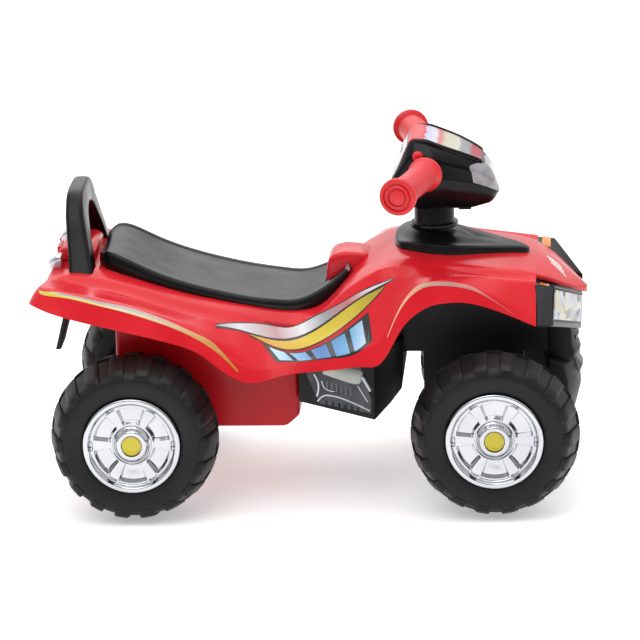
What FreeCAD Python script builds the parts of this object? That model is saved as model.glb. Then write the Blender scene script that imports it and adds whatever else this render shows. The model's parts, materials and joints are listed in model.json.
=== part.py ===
"""Kids quad bike: a foot-to-floor ride-on toy with steered front wheels and a lidded seat.

Frame: X forward, Y to the left, Z up, floor at Z = 0. Lengths in millimetres.
Places along X are measured from the nearer axle, heights from the axle line.
"""
import FreeCAD
import Part
import Sketcher

import math
import os
import re

from FreeCAD import Placement, Rotation, Vector

SHEET = "Sizes"

# Driving dimensions, one cell each.
SIZES = {
    "rear_axle_x": -193.0,
    "wheelbase": 397.0,
    "wheel_radius": 93.0,
    "rear_tyre_width": 88.0,
    "rear_tyre_mid": 146.0,
    "front_tyre_width": 74.0,
    "front_tyre_mid": 145.0,
    "lug_height": 3.5,
    "lug_width": 17.0,
    "lug_reach": 9.0,
    "lug_count": 18.0,
    "tyre_wall": 2.0,
    "cover_radius": 53.5,
    "cover_depth": 16.0,
    "cover_gap": 0.3,
    "cover_wall": 3.0,
    "window_count": 6.0,
    "window_depth": 1.8,
    "cap_radius": 11.0,
    "axle_diameter": 10.0,
    "running_gap": 0.06,
    "open_gap": 0.4,
    "nut_radius": 11.0,
    "nut_thickness": 4.0,
    "body_wall": 2.5,
    "seat_gap": 0.5,
    "seat_wall": 4.0,
    "seat_pin_diameter": 5.0,
    "seat_pin_x": -164.0,
    "seat_pin_z": 161.0,
    "seat_barrel_radius": 5.6,
    "seat_pin_half": 46.0,
    "nose_half_width": 26.0,
    "nose_gap": 1.5,
    "tub_half_width": 95.0,
    "tub_wall": 2.5,
    "spine_half_width": 52.0,
    "keel_half_width": 30.0,
    "keel_floor_z": -17.0,
    "foot_half_width": 108.0,
    "chassis_wall": 2.5,
    "kingpin_y": 84.0,
    "kingpin_diameter": 10.0,
    "beam_floor_z": 7.0,
    "beam_height": 20.0,
    "beam_length": 30.0,
    "knuckle_radius": 14.0,
    "arm_length": 34.0,
    "arm_floor_z": -36.0,
    "arm_height": 6.0,
    "arm_width": 15.0,
    "link_pin_diameter": 8.0,
    "tie_height": 5.0,
    "steering_x": -68.0,
    "rod_diameter": 10.0,
    "bush_radius": 9.0,
    "bush_height": 10.0,
    "post_radius": 22.5,
    "post_wall": 3.0,
    "grip_z": 273.0,
    "grip_sweep": 14.0,
    "bar_radius": 9.0,
    "bar_wall": 1.6,
    "grip_radius": 16.0,
    "flange_radius": 20.5,
    "grip_start": 66.0,
    "grip_end": 178.0,
    "pod_half_width": 56.0,
    "pod_wall": 3.0,
    "panel_half_width": 42.0,
    "button_gap": 0.35,
    "horn_radius": 6.0,
    "music_radius": 6.0,
    "backrest_half_width": 64.0,
    "backrest_splay": 28.0,
    "backrest_depth": 27.0,
    "backrest_front_x": -46.0,
    "backrest_height": 78.0,
    "cowl_half_width": 42.0,
    "bumper_half_width": 52.0,
    "screw_radius": 3.5,
}

# The body's tables are drawn at this wheelbase; the waist between the fenders stretches with it.
DRAWN_WHEELBASE = 397.0
FENDER_REACH = 80.0
SIZES["waist_stretch"] = f"=(wheelbase - {2 * FENDER_REACH}) / {DRAWN_WHEELBASE - 2 * FENDER_REACH}"

# Lines that run the length of the body: (axle, x from that axle, half width, height).
BODY_LINES = {
    "deck": [
        ("rear", -113, 70, 169), ("rear", -72, 76, 172), ("rear", -43, 77, 171), ("rear", -22, 77, 166.5),
        ("rear", 8, 77, 157), ("rear", 47, 77, 145), ("rear", 80, 77, 137), ("rear", 131, 76.5, 127),
        ("rear", 185, 72, 120.8), ("front", -192, 68, 126), ("front", -172, 65, 143.5),
        ("front", -158, 62, 157.5), ("front", -142, 62, 168.5), ("front", -125, 66, 175.5),
        ("front", -101, 78, 180.5), ("front", -74, 81, 179), ("front", -37, 83, 173.8),
        ("front", 0, 84, 169.5), ("front", 46, 82.5, 163.3)],
    "root": [
        ("rear", -113, 92, 167.5), ("rear", -72, 96, 169.5), ("rear", -22, 96, 161.5), ("rear", 8, 95, 153),
        ("rear", 47, 94, 140), ("rear", 80, 93, 132), ("rear", 131, 91, 120), ("rear", 185, 90, 113),
        ("front", -192, 90, 123.5), ("front", -172, 90.5, 141.5), ("front", -142, 92, 163),
        ("front", -125, 94, 172.5), ("front", -101, 95.5, 176), ("front", -74, 97, 176.5),
        ("front", -37, 98, 170.5), ("front", 0, 98, 166), ("front", 46, 97, 160)],
    "edge": [
        ("rear", -113, 134, 165.5), ("rear", -95, 146, 169.8), ("rear", -72, 148, 165.5),
        ("rear", -22, 148, 154), ("rear", 47, 144, 131), ("rear", 80, 138, 115), ("rear", 101, 132, 100),
        ("rear", 131, 122, 88), ("rear", 185, 114, 94), ("front", -172, 114, 104.6),
        ("front", -142, 115, 119.8), ("front", -113, 117, 143.4), ("front", -89, 116, 163.1),
        ("front", -55, 112, 169.9), ("front", -20, 109, 167.7), ("front", 46, 104, 160.9)],
    "brim": [
        ("rear", -113, 140, 163), ("rear", -95, 155, 166.8), ("rear", -72, 158, 161.5),
        ("rear", -22, 159.5, 150), ("rear", 47, 157, 126), ("rear", 80, 152.5, 109.5),
        ("rear", 101, 146.5, 92), ("rear", 131, 136, 72.5), ("rear", 185, 129.5, 79),
        ("front", -172, 130, 85.6), ("front", -142, 131, 92.8), ("front", -125, 132, 102.1),
        ("front", -113, 132.5, 121.2), ("front", -101, 132.5, 141.3), ("front", -89, 132, 155.5),
        ("front", -74, 131, 166.6), ("front", -55, 130, 168.9), ("front", -20, 129, 159.2),
        ("front", 14, 127, 142.8), ("front", 46, 125, 127.6)],
    "hem": [
        ("rear", -113, 143, 150), ("rear", -95, 157, 145.5), ("rear", -72, 161, 138.5),
        ("rear", -22, 163, 126), ("rear", 47, 160.5, 107.5), ("rear", 80, 157, 91.5),
        ("rear", 101, 152, 72.5), ("rear", 117, 146, 61.5), ("rear", 131, 141, 57), ("rear", 159, 136, 62.5),
        ("rear", 185, 134.5, 66.5), ("front", -172, 135, 70.1), ("front", -142, 136, 72.9),
        ("front", -125, 136.5, 76.8), ("front", -113, 136.5, 94.4), ("front", -101, 136.5, 115.9),
        ("front", -89, 136, 129), ("front", -74, 135.5, 139.3), ("front", -55, 135, 144.2),
        ("front", -37, 134, 144.9), ("front", -3, 132.5, 137), ("front", 46, 130, 115.9)],
    "crown": [
        ("rear", -113, 0, 0), ("rear", -40, 0, 0), ("rear", 30, 0, 0), ("rear", 100, 0, 0),
        ("rear", 150, 0, 0),
        ("rear", 185, 0, 0), ("front", -192, 0, 0), ("front", -172, 0, 0), ("front", -157, 0, 0.2),
        ("front", -142, 0, 2.5),
        ("front", -101, 0, 6), ("front", -74, 0, 7), ("front", 0, 0, 5.5), ("front", 46, 0, 3.2)],
    "seat_side": [
        ("rear", -43, 50, 183), ("rear", -38, 62, 187), ("rear", -29, 71, 188.5), ("rear", -12, 75.5, 182.5),
        ("rear", 8, 76, 172.5), ("rear", 47, 76, 157), ("rear", 86, 76, 146), ("rear", 126, 76, 137.5),
        ("rear", 156, 74.5, 133.5), ("rear", 178, 71, 133), ("front", -201, 66, 138.5),
        ("front", -182, 58, 149), ("front", -164, 48, 163)],
}

doc = FreeCAD.newDocument("KidsQuadBike")
sheet = doc.addObject("Spreadsheet::Sheet", SHEET)
nodes = {}


def fill_sheet():
    """Write every size to the sheet with its name beside it."""
    for row, (name, value) in enumerate(SIZES.items(), start=1):
        sheet.set(f"A{row}", name)
        sheet.set(f"B{row}", str(value))
        sheet.setAlias(f"B{row}", name)
    doc.recompute()


def bound(text):
    """Write the sheet's name before each size in an expression."""
    return re.sub(r"[a-z_]+", lambda word: f"{SHEET}.{word[0]}" if word[0] in SIZES else word[0], str(text))


def size(text):
    """Value of an expression of sizes."""
    value = sheet.evalExpression(bound(text))
    return float(getattr(value, "Value", value))


fill_sheet()
REAR_X = size("rear_axle_x")
FRONT_X = size("rear_axle_x + wheelbase")
AXLE_Z = size("wheel_radius")
STEER_X = FRONT_X + size("steering_x")
FRONT = "(rear_axle_x + wheelbase)"
STEER = "(rear_axle_x + wheelbase + steering_x)"
WALL = size("body_wall")
SIDES = (("left", 1), ("right", -1))


def keep(node, item):
    """Name a finished sub-part."""
    item.Label = node
    nodes[node] = item
    return item


def bind(item, **expressions):
    """Bind properties to expressions of sizes; a double underscore stands for a dot."""
    for name, text in expressions.items():
        item.setExpression(name.replace("__", "."), bound(text))


def place(item, x, y, z, rotation=None):
    """Put an item at a point given by expressions."""
    item.Placement = Placement(Vector(), rotation or Rotation())
    bind(item, Placement__Base__x=x, Placement__Base__y=y, Placement__Base__z=z)
    return item


ALONG = {"x": Rotation(Vector(0, 1, 0), 90), "y": Rotation(Vector(1, 0, 0), -90), "z": Rotation()}


def rod(name, axis, radius, length, x, y, z):
    """Cylinder that starts at a point and runs along +X, +Y or +Z."""
    item = doc.addObject("Part::Cylinder", name)
    bind(item, Radius=radius, Height=length)
    return place(item, x, y, z, ALONG[axis])


def block(name, length, width, height, x, y, z):
    """Box centred in X and Y on a point, standing on its height."""
    item = doc.addObject("Part::Box", name)
    bind(item, Length=length, Width=width, Height=height)
    return place(item, f"{x} - ({length}) / 2", f"{y} - ({width}) / 2", z)


def fuse(name, *items):
    """One solid from several."""
    item = doc.addObject("Part::MultiFuse", name)
    item.Shapes = list(items)
    return item


def cut(name, base, *tools):
    """The base without the tools."""
    item = doc.addObject("Part::Cut", name)
    item.Base = base
    item.Tool = tools[0] if len(tools) == 1 else fuse(f"{name}_tools", *tools)
    return item


def group(name, *items):
    """Separate solids kept as one sub-part."""
    item = doc.addObject("Part::Compound", name)
    item.Links = list(items)
    return item


def shaped(name, shape):
    """Sub-part whose form is worked out from curves."""
    item = doc.addObject("Part::Feature", name)
    item.Shape = shape
    return item


def origin_feature(body, role):
    """Plane or axis of a body's own origin."""
    return next(item for item in body.Origin.OriginFeatures if item.Role == role)


def outline_sketch(body, name, plane, loops):
    """Sketch of closed straight-sided loops whose corners are bound to expressions."""
    sketch = body.newObject("Sketcher::SketchObject", name)
    sketch.AttachmentSupport = [(origin_feature(body, plane), "")]
    sketch.MapMode = "FlatFace"
    for loop in loops:
        corners = [Vector(size(across), size(along), 0) for across, along in loop]
        first = sketch.GeometryCount
        for start, end in zip(corners, corners[1:] + corners[:1]):
            sketch.addGeometry(Part.LineSegment(start, end))
        for step, (across, along) in enumerate(loop):
            line = first + step
            following = first + (step + 1) % len(loop)
            sketch.addConstraint(Sketcher.Constraint("Coincident", line, 2, following, 1))
            for kind, text in (("DistanceX", across), ("DistanceY", along)):
                number = sketch.addConstraint(Sketcher.Constraint(kind, -1, 1, line, 1, size(text)))
                sketch.setExpression(f"Constraints[{number}]", bound(text))
    return sketch


def turned(name, *loops):
    """Body of revolution about Y: loops of (radius, distance along Y)."""
    body = doc.addObject("PartDesign::Body", name)
    sketch = outline_sketch(body, f"{name}_profile", "XY_Plane", loops)
    revolve = body.newObject("PartDesign::Revolution", f"{name}_turned")
    revolve.Profile = sketch
    revolve.ReferenceAxis = (sketch, ["V_Axis"])
    revolve.Angle = 360
    body.Tip = revolve
    return body


def patterned(body, feature, count, name):
    """Repeat a feature of a body round its Y axis."""
    pattern = body.newObject("PartDesign::PolarPattern", name)
    pattern.Originals = [feature]
    pattern.Axis = (origin_feature(body, "Y_Axis"), [""])
    pattern.Angle = 360
    bind(pattern, Occurrences=count)
    body.Tip = pattern
    return pattern


def body_x(axle, offset):
    """Place along X of a point measured from an axle; past the fender it goes with the waist."""
    origin, inward = (REAR_X, 1) if axle == "rear" else (FRONT_X, -1)
    past = max(0.0, offset * inward - FENDER_REACH)
    return origin + offset + inward * past * (size("waist_stretch") - 1)


def drawn(axle, profile):
    """Side view outline measured from an axle and the axle line, in place."""
    return [(body_x(axle, along), AXLE_Z + height) for along, height in profile]


def smooth(xs, values, reach=lambda x, value: Vector(x, 0, value)):
    """Curve over X through the given values."""
    curve = Part.BSplineCurve()
    curve.interpolate(Points=[reach(x, value) for x, value in zip(xs, values)], Parameters=xs)
    return curve


def line_curve(name, inward=0.0, down=0.0, side=1):
    """One of the body's long lines as a curve over X, moved in and down, on one side."""
    points = BODY_LINES[name]
    xs = [body_x(axle, offset) for axle, offset, _, _ in points]
    spots = [(side * (width - inward), AXLE_Z + height - down) for _, _, width, height in points]
    return smooth(xs, spots, lambda x, spot: Vector(x, spot[0], spot[1]))


def strip_solid(curves, start, end):
    """Solid between two X planes whose skin is ruled between each curve and the next."""
    edges = [curve.toShape(start, end) for curve in curves]
    pairs = list(zip(edges, edges[1:] + edges[:1]))
    faces = [Part.makeRuledSurface(first, second) for first, second in pairs]
    for x in (start, end):
        corners = [curve.value(x) for curve in curves]
        faces.append(Part.Face(Part.makePolygon(corners + corners[:1])))
    solid = Part.makeSolid(Part.makeShell(faces))
    solid.fix(1e-4, 1e-4, 1e-4)
    if solid.Volume < 0:
        solid.reverse()
    return solid


def prism(points, direction):
    """Flat outline pushed along a direction."""
    corners = [Vector(*point) for point in points]
    return Part.Face(Part.makePolygon(corners + corners[:1])).extrude(Vector(*direction))


def side_prism(profile, half_width, x=0.0, z=0.0):
    """Side view outline (x, z) made as wide as twice the half width."""
    points = [(x + along, -half_width, z + height) for along, height in profile]
    return prism(points, (0, 2 * half_width, 0))


def inset_prism(profile, half_width, wall, x=0.0, z=0.0):
    """Side view prism with a wall's thickness taken off all round."""
    corners = [Vector(x + along, wall - half_width, z + height) for along, height in profile]
    wire = Part.makePolygon(corners + corners[:1])
    inner = wire.makeOffset2D(-wall)
    return Part.Face(inner).extrude(Vector(0, 2 * (half_width - wall), 0))


def plan_prism(outline, low, high):
    """Plan view outline (x, y) between two heights."""
    return prism([(x, y, low) for x, y in outline], (0, 0, high - low))


def mirrored(points):
    """Half outline (x, y) joined to its mirror image across the middle."""
    return points + [(x, -y) for x, y in reversed(points)]


BODY_START = body_x(*BODY_LINES["deck"][0][:2])
BODY_END = body_x(*BODY_LINES["deck"][-1][:2])
SKIN = ("hem", "brim", "edge", "root", "deck")
SKIN_INSET = {"hem": (1, 0), "brim": (1, 0.5), "edge": (0.7, 1), "root": (0.5, 1), "deck": (0.5, 1)}


def crest_curve(raised=0.0):
    """Middle line of the body's top: the deck with the hood's crown on it."""
    crown = line_curve("crown")
    xs = [body_x(axle, offset) for axle, offset, _, _ in BODY_LINES["deck"]]
    deck = line_curve("deck")
    heights = [deck.value(x).z + crown.value(x).z - AXLE_Z + raised for x in xs]
    return smooth(xs, heights)


def outer_skin():
    """Curves of the body's outside, from the right hem over the top to the left hem."""
    right = [line_curve(name, side=-1) for name in SKIN]
    left = [line_curve(name) for name in reversed(SKIN)]
    return right + [crest_curve()] + left


def inner_skin():
    """Curves of the body's inside, from the left hem back to the right hem."""
    def inset(name, side):
        inward, down = SKIN_INSET[name]
        return line_curve(name, inward * WALL, down * WALL, side)
    left = [inset(name, 1) for name in SKIN]
    right = [inset(name, -1) for name in reversed(SKIN)]
    return left + [crest_curve(-WALL)] + right


def under(curve, half_width, drop=0.0):
    """Everything below a height curve, down to the floor, within a half width."""
    edge = curve.toShape(BODY_START, BODY_END)
    flat = Part.makePolygon([Vector(BODY_START, 0, curve.value(BODY_START).z), Vector(BODY_START, 0, 0),
                             Vector(BODY_END, 0, 0), Vector(BODY_END, 0, curve.value(BODY_END).z)])
    face = Part.Face(Part.Wire([edge] + flat.Edges))
    solid = face.extrude(Vector(0, 2 * half_width, 0))
    solid.translate(Vector(0, -half_width, -drop))
    return solid


def height_curve(name):
    """A long line's height over X, in the middle plane."""
    points = BODY_LINES[name]
    xs = [body_x(axle, offset) for axle, offset, _, _ in points]
    return smooth(xs, [AXLE_Z + height for _, _, _, height in points])


# Beak of the hood past the fenders: x from the front axle, half width, edge height, crown.
BEAK = [(46, 82.5, 163.3, 3.2), (58, 73, 155, 5), (76, 50, 144, 5), (91, 26, 135, 3.5), (102, 5, 128, 1)]
BEAK_DEPTH = 9.0


def beak():
    """Hood tip that narrows to a rounded point over the headlights."""
    xs = [FRONT_X + row[0] for row in BEAK]

    def run(side, down, crown):
        spots = [(side * half, AXLE_Z + height + crown * rise - down) for _, half, height, rise in BEAK]
        return smooth(xs, spots, lambda x, spot: Vector(x, spot[0], spot[1]))
    curves = [run(-1, 0, 0), run(0, 0, 1), run(1, 0, 0),
              run(1, BEAK_DEPTH, 0), run(0, BEAK_DEPTH, 1), run(-1, BEAK_DEPTH, 0)]
    return strip_solid(curves, xs[0], xs[-1])


NOSE_PROFILE = [(-189, 118), (-189, 152), (-187, 165), (-182, 172), (-169, 175), (-154, 174), (-139, 170.5),
                (-139, 118)]
NOSE_CORNER = 9.0


def tank_nose(grow=0.0):
    """Rounded tongue of the tank that the seat's notch goes round."""
    solid = side_prism(drawn("front", NOSE_PROFILE), size("nose_half_width") + grow)
    rear = body_x("front", NOSE_PROFILE[0][0])
    upright = [edge for edge in solid.Edges
               if all(abs(vertex.X - rear) < 0.01 for vertex in edge.Vertexes)
               and abs(edge.Vertexes[0].Z - edge.Vertexes[-1].Z) > 1]
    return solid.makeFillet(NOSE_CORNER, upright)


def seat_opening():
    """Well in the deck that the seat covers."""
    half = [("rear", -30, 58), ("rear", -19, 66), ("front", -234, 64), ("front", -204, 56),
            ("front", -197, 48)]
    outline = [(body_x(axle, offset), width) for axle, offset, width in half]
    return plan_prism(mirrored(outline), AXLE_Z, AXLE_Z + 250)


def filled_body():
    """The body's outer form without its hollow."""
    return strip_solid(outer_skin(), BODY_START, BODY_END)


def largest(shape):
    """Biggest solid of a shape, without the slivers that a cut leaves outside the skin."""
    return max(shape.Solids, key=lambda solid: solid.Volume)


def upright_hole(x, radius):
    """Cylinder through the whole height at a place on the middle line."""
    return Part.makeCylinder(radius, 600, Vector(x, 0, 0))


def seat_pin(radius, half):
    """Cylinder across the body on the seat's hinge line."""
    start = Vector(body_x("front", size("seat_pin_x")), -half, AXLE_Z + size("seat_pin_z"))
    return Part.makeCylinder(radius, 2 * half, start, Vector(0, 1, 0))


def body_shell():
    """Red moulding: fenders, waist, hood, beak and tank nose."""
    skin = strip_solid(outer_skin() + inner_skin(), BODY_START, BODY_END)
    corners = [curve.value(BODY_START) for curve in outer_skin()]
    tail = Part.Face(Part.makePolygon(corners + corners[:1])).extrude(Vector(WALL, 0, 0))
    room = [(-189 + WALL, 110), (-189 + WALL, 150), (-182 + WALL, 169), (-169, 171.5), (-143, 168),
            (-143, 110)]
    nose = tank_nose().cut(side_prism(drawn("front", room), size("nose_half_width") - WALL))
    shape = skin.fuse([tail, beak(), nose])
    pin_hole = seat_pin(size("seat_pin_diameter / 2"), size("nose_half_width"))
    return shape.cut([seat_opening(), upright_hole(STEER_X, size("bush_radius")), pin_hole])


TUB_PROFILE = [(-24, 200), (-24, 25), (64, 25), (78, -7), (164, -7), (172, -3), (176, 6), (179, 40),
               (179, 200)]


def storage_tub(shell):
    """Open box below the seat, its floor raised over the rear axle."""
    half = size("tub_half_width")
    outer = side_prism(drawn("rear", TUB_PROFILE), half)
    inner = inset_prism(drawn("rear", TUB_PROFILE), half, size("tub_wall"))
    limit = under(height_curve("root"), half, WALL / 2)
    return largest(outer.cut(inner).common(limit).cut(shell))


FOOT_PROFILE = [(-217.5, 26), (-134, 4), (-105, 30), (-103, 67), (-103, 85), (-217.5, 85)]
FOOT_PLAN = [(-217.5, 0), (-134, 0), (-116, 15), (-103, 40)]
SPINE_PROFILE = [(-142, 67), (57.5, 67), (57.5, 140), (46, 152), (40, 200), (-142, 200)]
KEEL_PROFILE = [(-82, 67), (-82, -17), (-24, -17), (-24, 27), (30, 27), (30, 67)]


def foot_form():
    """Outer form of the foot rest: its side view crossed with its plan."""
    half = size("foot_half_width")
    plan = mirrored([(body_x("front", along), half - less) for along, less in FOOT_PLAN])
    return side_prism(drawn("front", FOOT_PROFILE), half).common(plan_prism(plan, 0, AXLE_Z + 200)), plan


def foot_rest():
    """Black hollow box that stands out on both sides below the waist."""
    wall = size("chassis_wall")
    form, plan = foot_form()
    inner = Part.makePolygon([Vector(x, y, 0) for x, y in plan + plan[:1]]).makeOffset2D(-wall)
    room = inset_prism(drawn("front", FOOT_PROFILE), size("foot_half_width"), wall)
    return form.cut(room.common(Part.Face(inner).extrude(Vector(0, 0, AXLE_Z + 200))))


def spine(shell):
    """Black box under the hood, from the foot rest to the bumper."""
    wall = size("chassis_wall")
    half = size("spine_half_width")
    deck = height_curve("deck")
    front = side_prism(drawn("front", [(46, 60), (60, 60), (60, 160), (46, 160)]), half)
    form = side_prism(drawn("front", SPINE_PROFILE), half).common(under(deck, half, WALL / 2).fuse(front))
    room = inset_prism(drawn("front", SPINE_PROFILE), half, wall)
    room = room.common(under(deck, half, WALL / 2 + wall).fuse(front))
    rod_hole = upright_hole(STEER_X, size("bush_radius"))
    return form.cut([room, shell, foot_form()[0], rod_hole])


def keel():
    """Black bracket below the spine: it holds the steering rod's foot and the axle beam."""
    half = size("keel_half_width")
    wall = size("chassis_wall")
    form = side_prism(drawn("front", KEEL_PROFILE), half)
    room = inset_prism(drawn("front", KEEL_PROFILE), half, wall)
    return form.cut([room, upright_hole(STEER_X, size("bush_radius"))])


SEAT_START = body_x(*BODY_LINES["seat_side"][0][:2])
SEAT_END = body_x(*BODY_LINES["seat_side"][-1][:2])
SEAT_STEPS = 24


def seat():
    """Black lid with a rounded rim, open underneath, notched at the front round the nose."""
    wall = size("seat_wall")
    deck = height_curve("deck")
    side = line_curve("seat_side")
    xs = [SEAT_START + (SEAT_END - SEAT_START) * step / SEAT_STEPS for step in range(SEAT_STEPS + 1)]
    low = {x: deck.value(x).z + size("seat_gap") for x in xs}
    top = {x: side.value(x).z for x in xs}
    half = {x: side.value(x).y for x in xs}

    def run(sign, inward, height):
        return smooth(xs, xs, lambda x, _: Vector(x, sign * (half[x] - inward), height(x)))

    def middle(drop):
        return smooth(xs, xs, lambda x, _: Vector(x, 0, top[x] - drop))
    rim = [(0, lambda x: low[x]), (-0.8, lambda x: low[x] + 0.5 * (top[x] - low[x])),
           (2, lambda x: top[x] - 3), (8, lambda x: top[x])]
    inside = [(wall, lambda x: low[x]), (wall + 4, lambda x: top[x] - wall)]
    outer = [run(-1, *row) for row in rim] + [middle(1)] + [run(1, *row) for row in reversed(rim)]
    inner = [run(1, *row) for row in inside] + [middle(1 + wall)]
    inner += [run(-1, *row) for row in reversed(inside)]
    lid = strip_solid(outer + inner, SEAT_START, SEAT_END)
    corners = [curve.value(SEAT_START) for curve in outer]
    back = Part.Face(Part.makePolygon(corners + corners[:1])).extrude(Vector(wall, 0, 0))
    barrel = seat_pin(size("seat_barrel_radius"), half[xs[-1]] - 2)
    gap = size("nose_gap")
    slot = [(-189 - gap, 100), (-189 - gap, 152), (-189, 190), (-139, 190), (-139, 100)]
    notch = tank_nose(gap).fuse(side_prism(drawn("front", slot), size("nose_half_width") + gap))
    bore = seat_pin(size("seat_pin_diameter / 2 + running_gap"), size("seat_pin_half"))
    return lid.fuse([back, barrel]).cut([notch, bore])


BACKREST_BEND = 30.0
BACKREST_LEG = 27.0
BACKREST_LEAN = 14.0


def backrest(body):
    """Arch of two tapered legs and a wide top that lean back, astride the cowl."""
    half = size("backrest_half_width")
    stand = half + size("backrest_splay")
    front = size("backrest_front_x")
    back = front - size("backrest_depth")
    foot = 165.0
    top = 172 + size("backrest_height")
    start = REAR_X + front + 1
    bend = BACKREST_BEND
    corner = bend * (1 - math.sqrt(0.5))

    def spot(y, height):
        return Vector(start, y, AXLE_Z + height)
    wire = Part.Wire([
        Part.LineSegment(spot(-stand, foot), spot(-half, top - bend)).toShape(),
        Part.Arc(spot(-half, top - bend), spot(corner - half, top - corner),
                 spot(bend - half, top)).toShape(),
        Part.LineSegment(spot(bend - half, top), spot(half - bend, top)).toShape(),
        Part.Arc(spot(half - bend, top), spot(half - corner, top - corner), spot(half, top - bend)).toShape(),
        Part.LineSegment(spot(half, top - bend), spot(stand, foot)).toShape(),
        Part.LineSegment(spot(stand, foot), spot(-stand, foot)).toShape()])
    arch = Part.Face(wire).extrude(Vector(back - front - 40, 0, 0))
    half_gap = [(foot - 5, stand - BACKREST_LEG), (top - 50, half - BACKREST_LEG + 4),
                (top - 24, half - BACKREST_LEG - 16)]
    gap = prism([(start + 5, y, AXLE_Z + z) for z, y in mirrored(half_gap)], (back - front - 60, 0, 0))
    side = [(front, foot - 5), (back, foot - 5), (back - 6, top - 25), (back - 6, top + 5),
            (front - BACKREST_LEAN - 2, top + 5), (front - BACKREST_LEAN, top - 22)]
    lean = side_prism(drawn("rear", side), stand)
    return arch.cut(gap).common(lean).cut(body)


def tail_cowl(body):
    """Rounded red block between the backrest's legs."""
    profile = [(-91, 160), (-91, 181), (-86, 187), (-56, 188), (-49, 183), (-49, 160)]
    return side_prism(drawn("rear", profile), size("cowl_half_width")).cut(body)


def reflectors(body):
    """Pair of silver lenses behind the legs."""
    half = 10.0
    solids = []
    for _, side in SIDES:
        lens = side_prism(drawn("rear", [(-99, 165), (-98, 179), (-90, 184), (-84, 184), (-84, 165)]), half)
        lens.translate(Vector(0, side * 60, 0))
        solids.append(lens.cut(body))
    return Part.makeCompound(solids)


def mud_flap(shell):
    """Plate that hangs from the tail, narrower at its foot."""
    flap = side_prism(drawn("rear", [(-72, 171), (-66, 171), (-95, 63), (-101, 63)]), 40)
    half = [(172, 36), (130, 34), (60, 20)]
    taper = prism([(REAR_X - 120, y, AXLE_Z + z) for z, y in mirrored(half)], (80, 0, 0))
    return flap.common(taper).cut(shell)


def column_base(body):
    """Tear-shaped black plate on the hood with a collar round the steering post."""
    half = [(-44, 26), (-34, 46), (-8, 56), (24, 50), (104, 7)]
    plate = plan_prism(mirrored([(STEER_X + along, width) for along, width in half]), AXLE_Z + 155,
                       AXLE_Z + 230)
    plate = plate.common(under(crest_curve(6.0), 60))
    collar = Part.makeCone(44, 31, 17, Vector(STEER_X, 0, AXLE_Z + 182))
    return plate.fuse(collar).cut([body, upright_hole(STEER_X, size("bush_radius"))])


BUMPER_PROFILE = [(57.5, 138), (72, 131), (87, 119), (94, 103), (95, 85), (102, 67), (102, 49), (93, 27),
                  (86, -9), (76, -9), (74, 17), (64, 37), (57.5, 72)]


def bumper():
    """Black front guard with a slotted grille."""
    half = size("bumper_half_width")
    profile = drawn("front", BUMPER_PROFILE)
    shell = side_prism(profile, half).cut(inset_prism(profile, half, size("chassis_wall")))
    slots = [Part.makeBox(20, 2 * half - 24, 6, Vector(FRONT_X + 84, 12 - half, AXLE_Z + low))
             for low in (76, 88, 100)]
    return shell.cut(slots)


LAMP_OUTER = (56.0, 123.0)
LAMP_INNER = (93.0, 52.3)


def lamp_face(share, inward):
    """Point in plan on the slanted headlight face, a share along it and a depth behind it."""
    run = Vector(LAMP_INNER[0] - LAMP_OUTER[0], LAMP_INNER[1] - LAMP_OUTER[1], 0)
    back = Vector(run.y, -run.x, 0).normalize()
    return Vector(FRONT_X + LAMP_OUTER[0], LAMP_OUTER[1], 0) + run * share + back * inward


def lamp_slab(near, far, low, drop):
    """Block of the headlight between two depths behind its face."""
    corners = [lamp_face(0.2, near), lamp_face(0.9, near), lamp_face(0.9, far), lamp_face(0.2, far)]
    slab = plan_prism([(point.x, point.y) for point in corners], AXLE_Z + low, AXLE_Z + 170)
    slope = side_prism(drawn("front", [(46, 90), (46, 158 - drop), (97, 136 - drop), (97, 90)]), 160)
    return slab.common(slope)


def headlight(side):
    """Bezel and lens of one side."""
    outline = [(46.2, 129.5), LAMP_OUTER, LAMP_INNER, (46.2, 52.3)]
    block_shape = plan_prism([(FRONT_X + x, y) for x, y in outline], AXLE_Z + 104, AXLE_Z + 170)
    slope = side_prism(drawn("front", [(46, 90), (46, 158), (97, 136), (97, 90)]), 160)
    bezel = largest(block_shape.common(slope).cut([lamp_slab(-2, 7, 110, 4), beak()]))
    lens = lamp_slab(1, 7, 110, 4).cut(beak())
    if side < 0:
        flip = Vector(0, 1, 0)
        bezel = bezel.mirror(Vector(), flip)
        lens = lens.mirror(Vector(), flip)
    return bezel, lens


def engine_panel(side):
    """Raised picture panel on the side of the foot rest, with a round barrel on it."""
    face = size("foot_half_width")
    outline = drawn("front", [(-210, 78), (-210, 31), (-137, 12), (-137, 78)])
    plate = prism([(x, side * face, z) for x, z in outline], (0, side * 1.5, 0))
    barrel = Part.makeCylinder(9, 34, Vector(body_x("front", -182), side * (face + 0.5), AXLE_Z + 56),
                               Vector(math.cos(0.35), 0, -math.sin(0.35)))
    outward = drawn("front", [(-240, 0), (0, 0), (0, 120), (-240, 120)])
    near = prism([(x, side * face, z) for x, z in outward], (0, side * 5, 0))
    return plate.fuse(barrel.common(near))


POD_PROFILE = [(-46, 259), (-23, 305), (-18, 307), (6, 300), (44, 284), (54, 280), (64, 268), (71, 250),
               (73, 238),
               (70, 233), (57, 228), (44, 225), (-22, 225), (-36, 244)]
POD_SIDE = [(-50, 46), (-8, 56), (30, 51)]
POD_TIP = 76.0
POD_SEAM = 257.0


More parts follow.
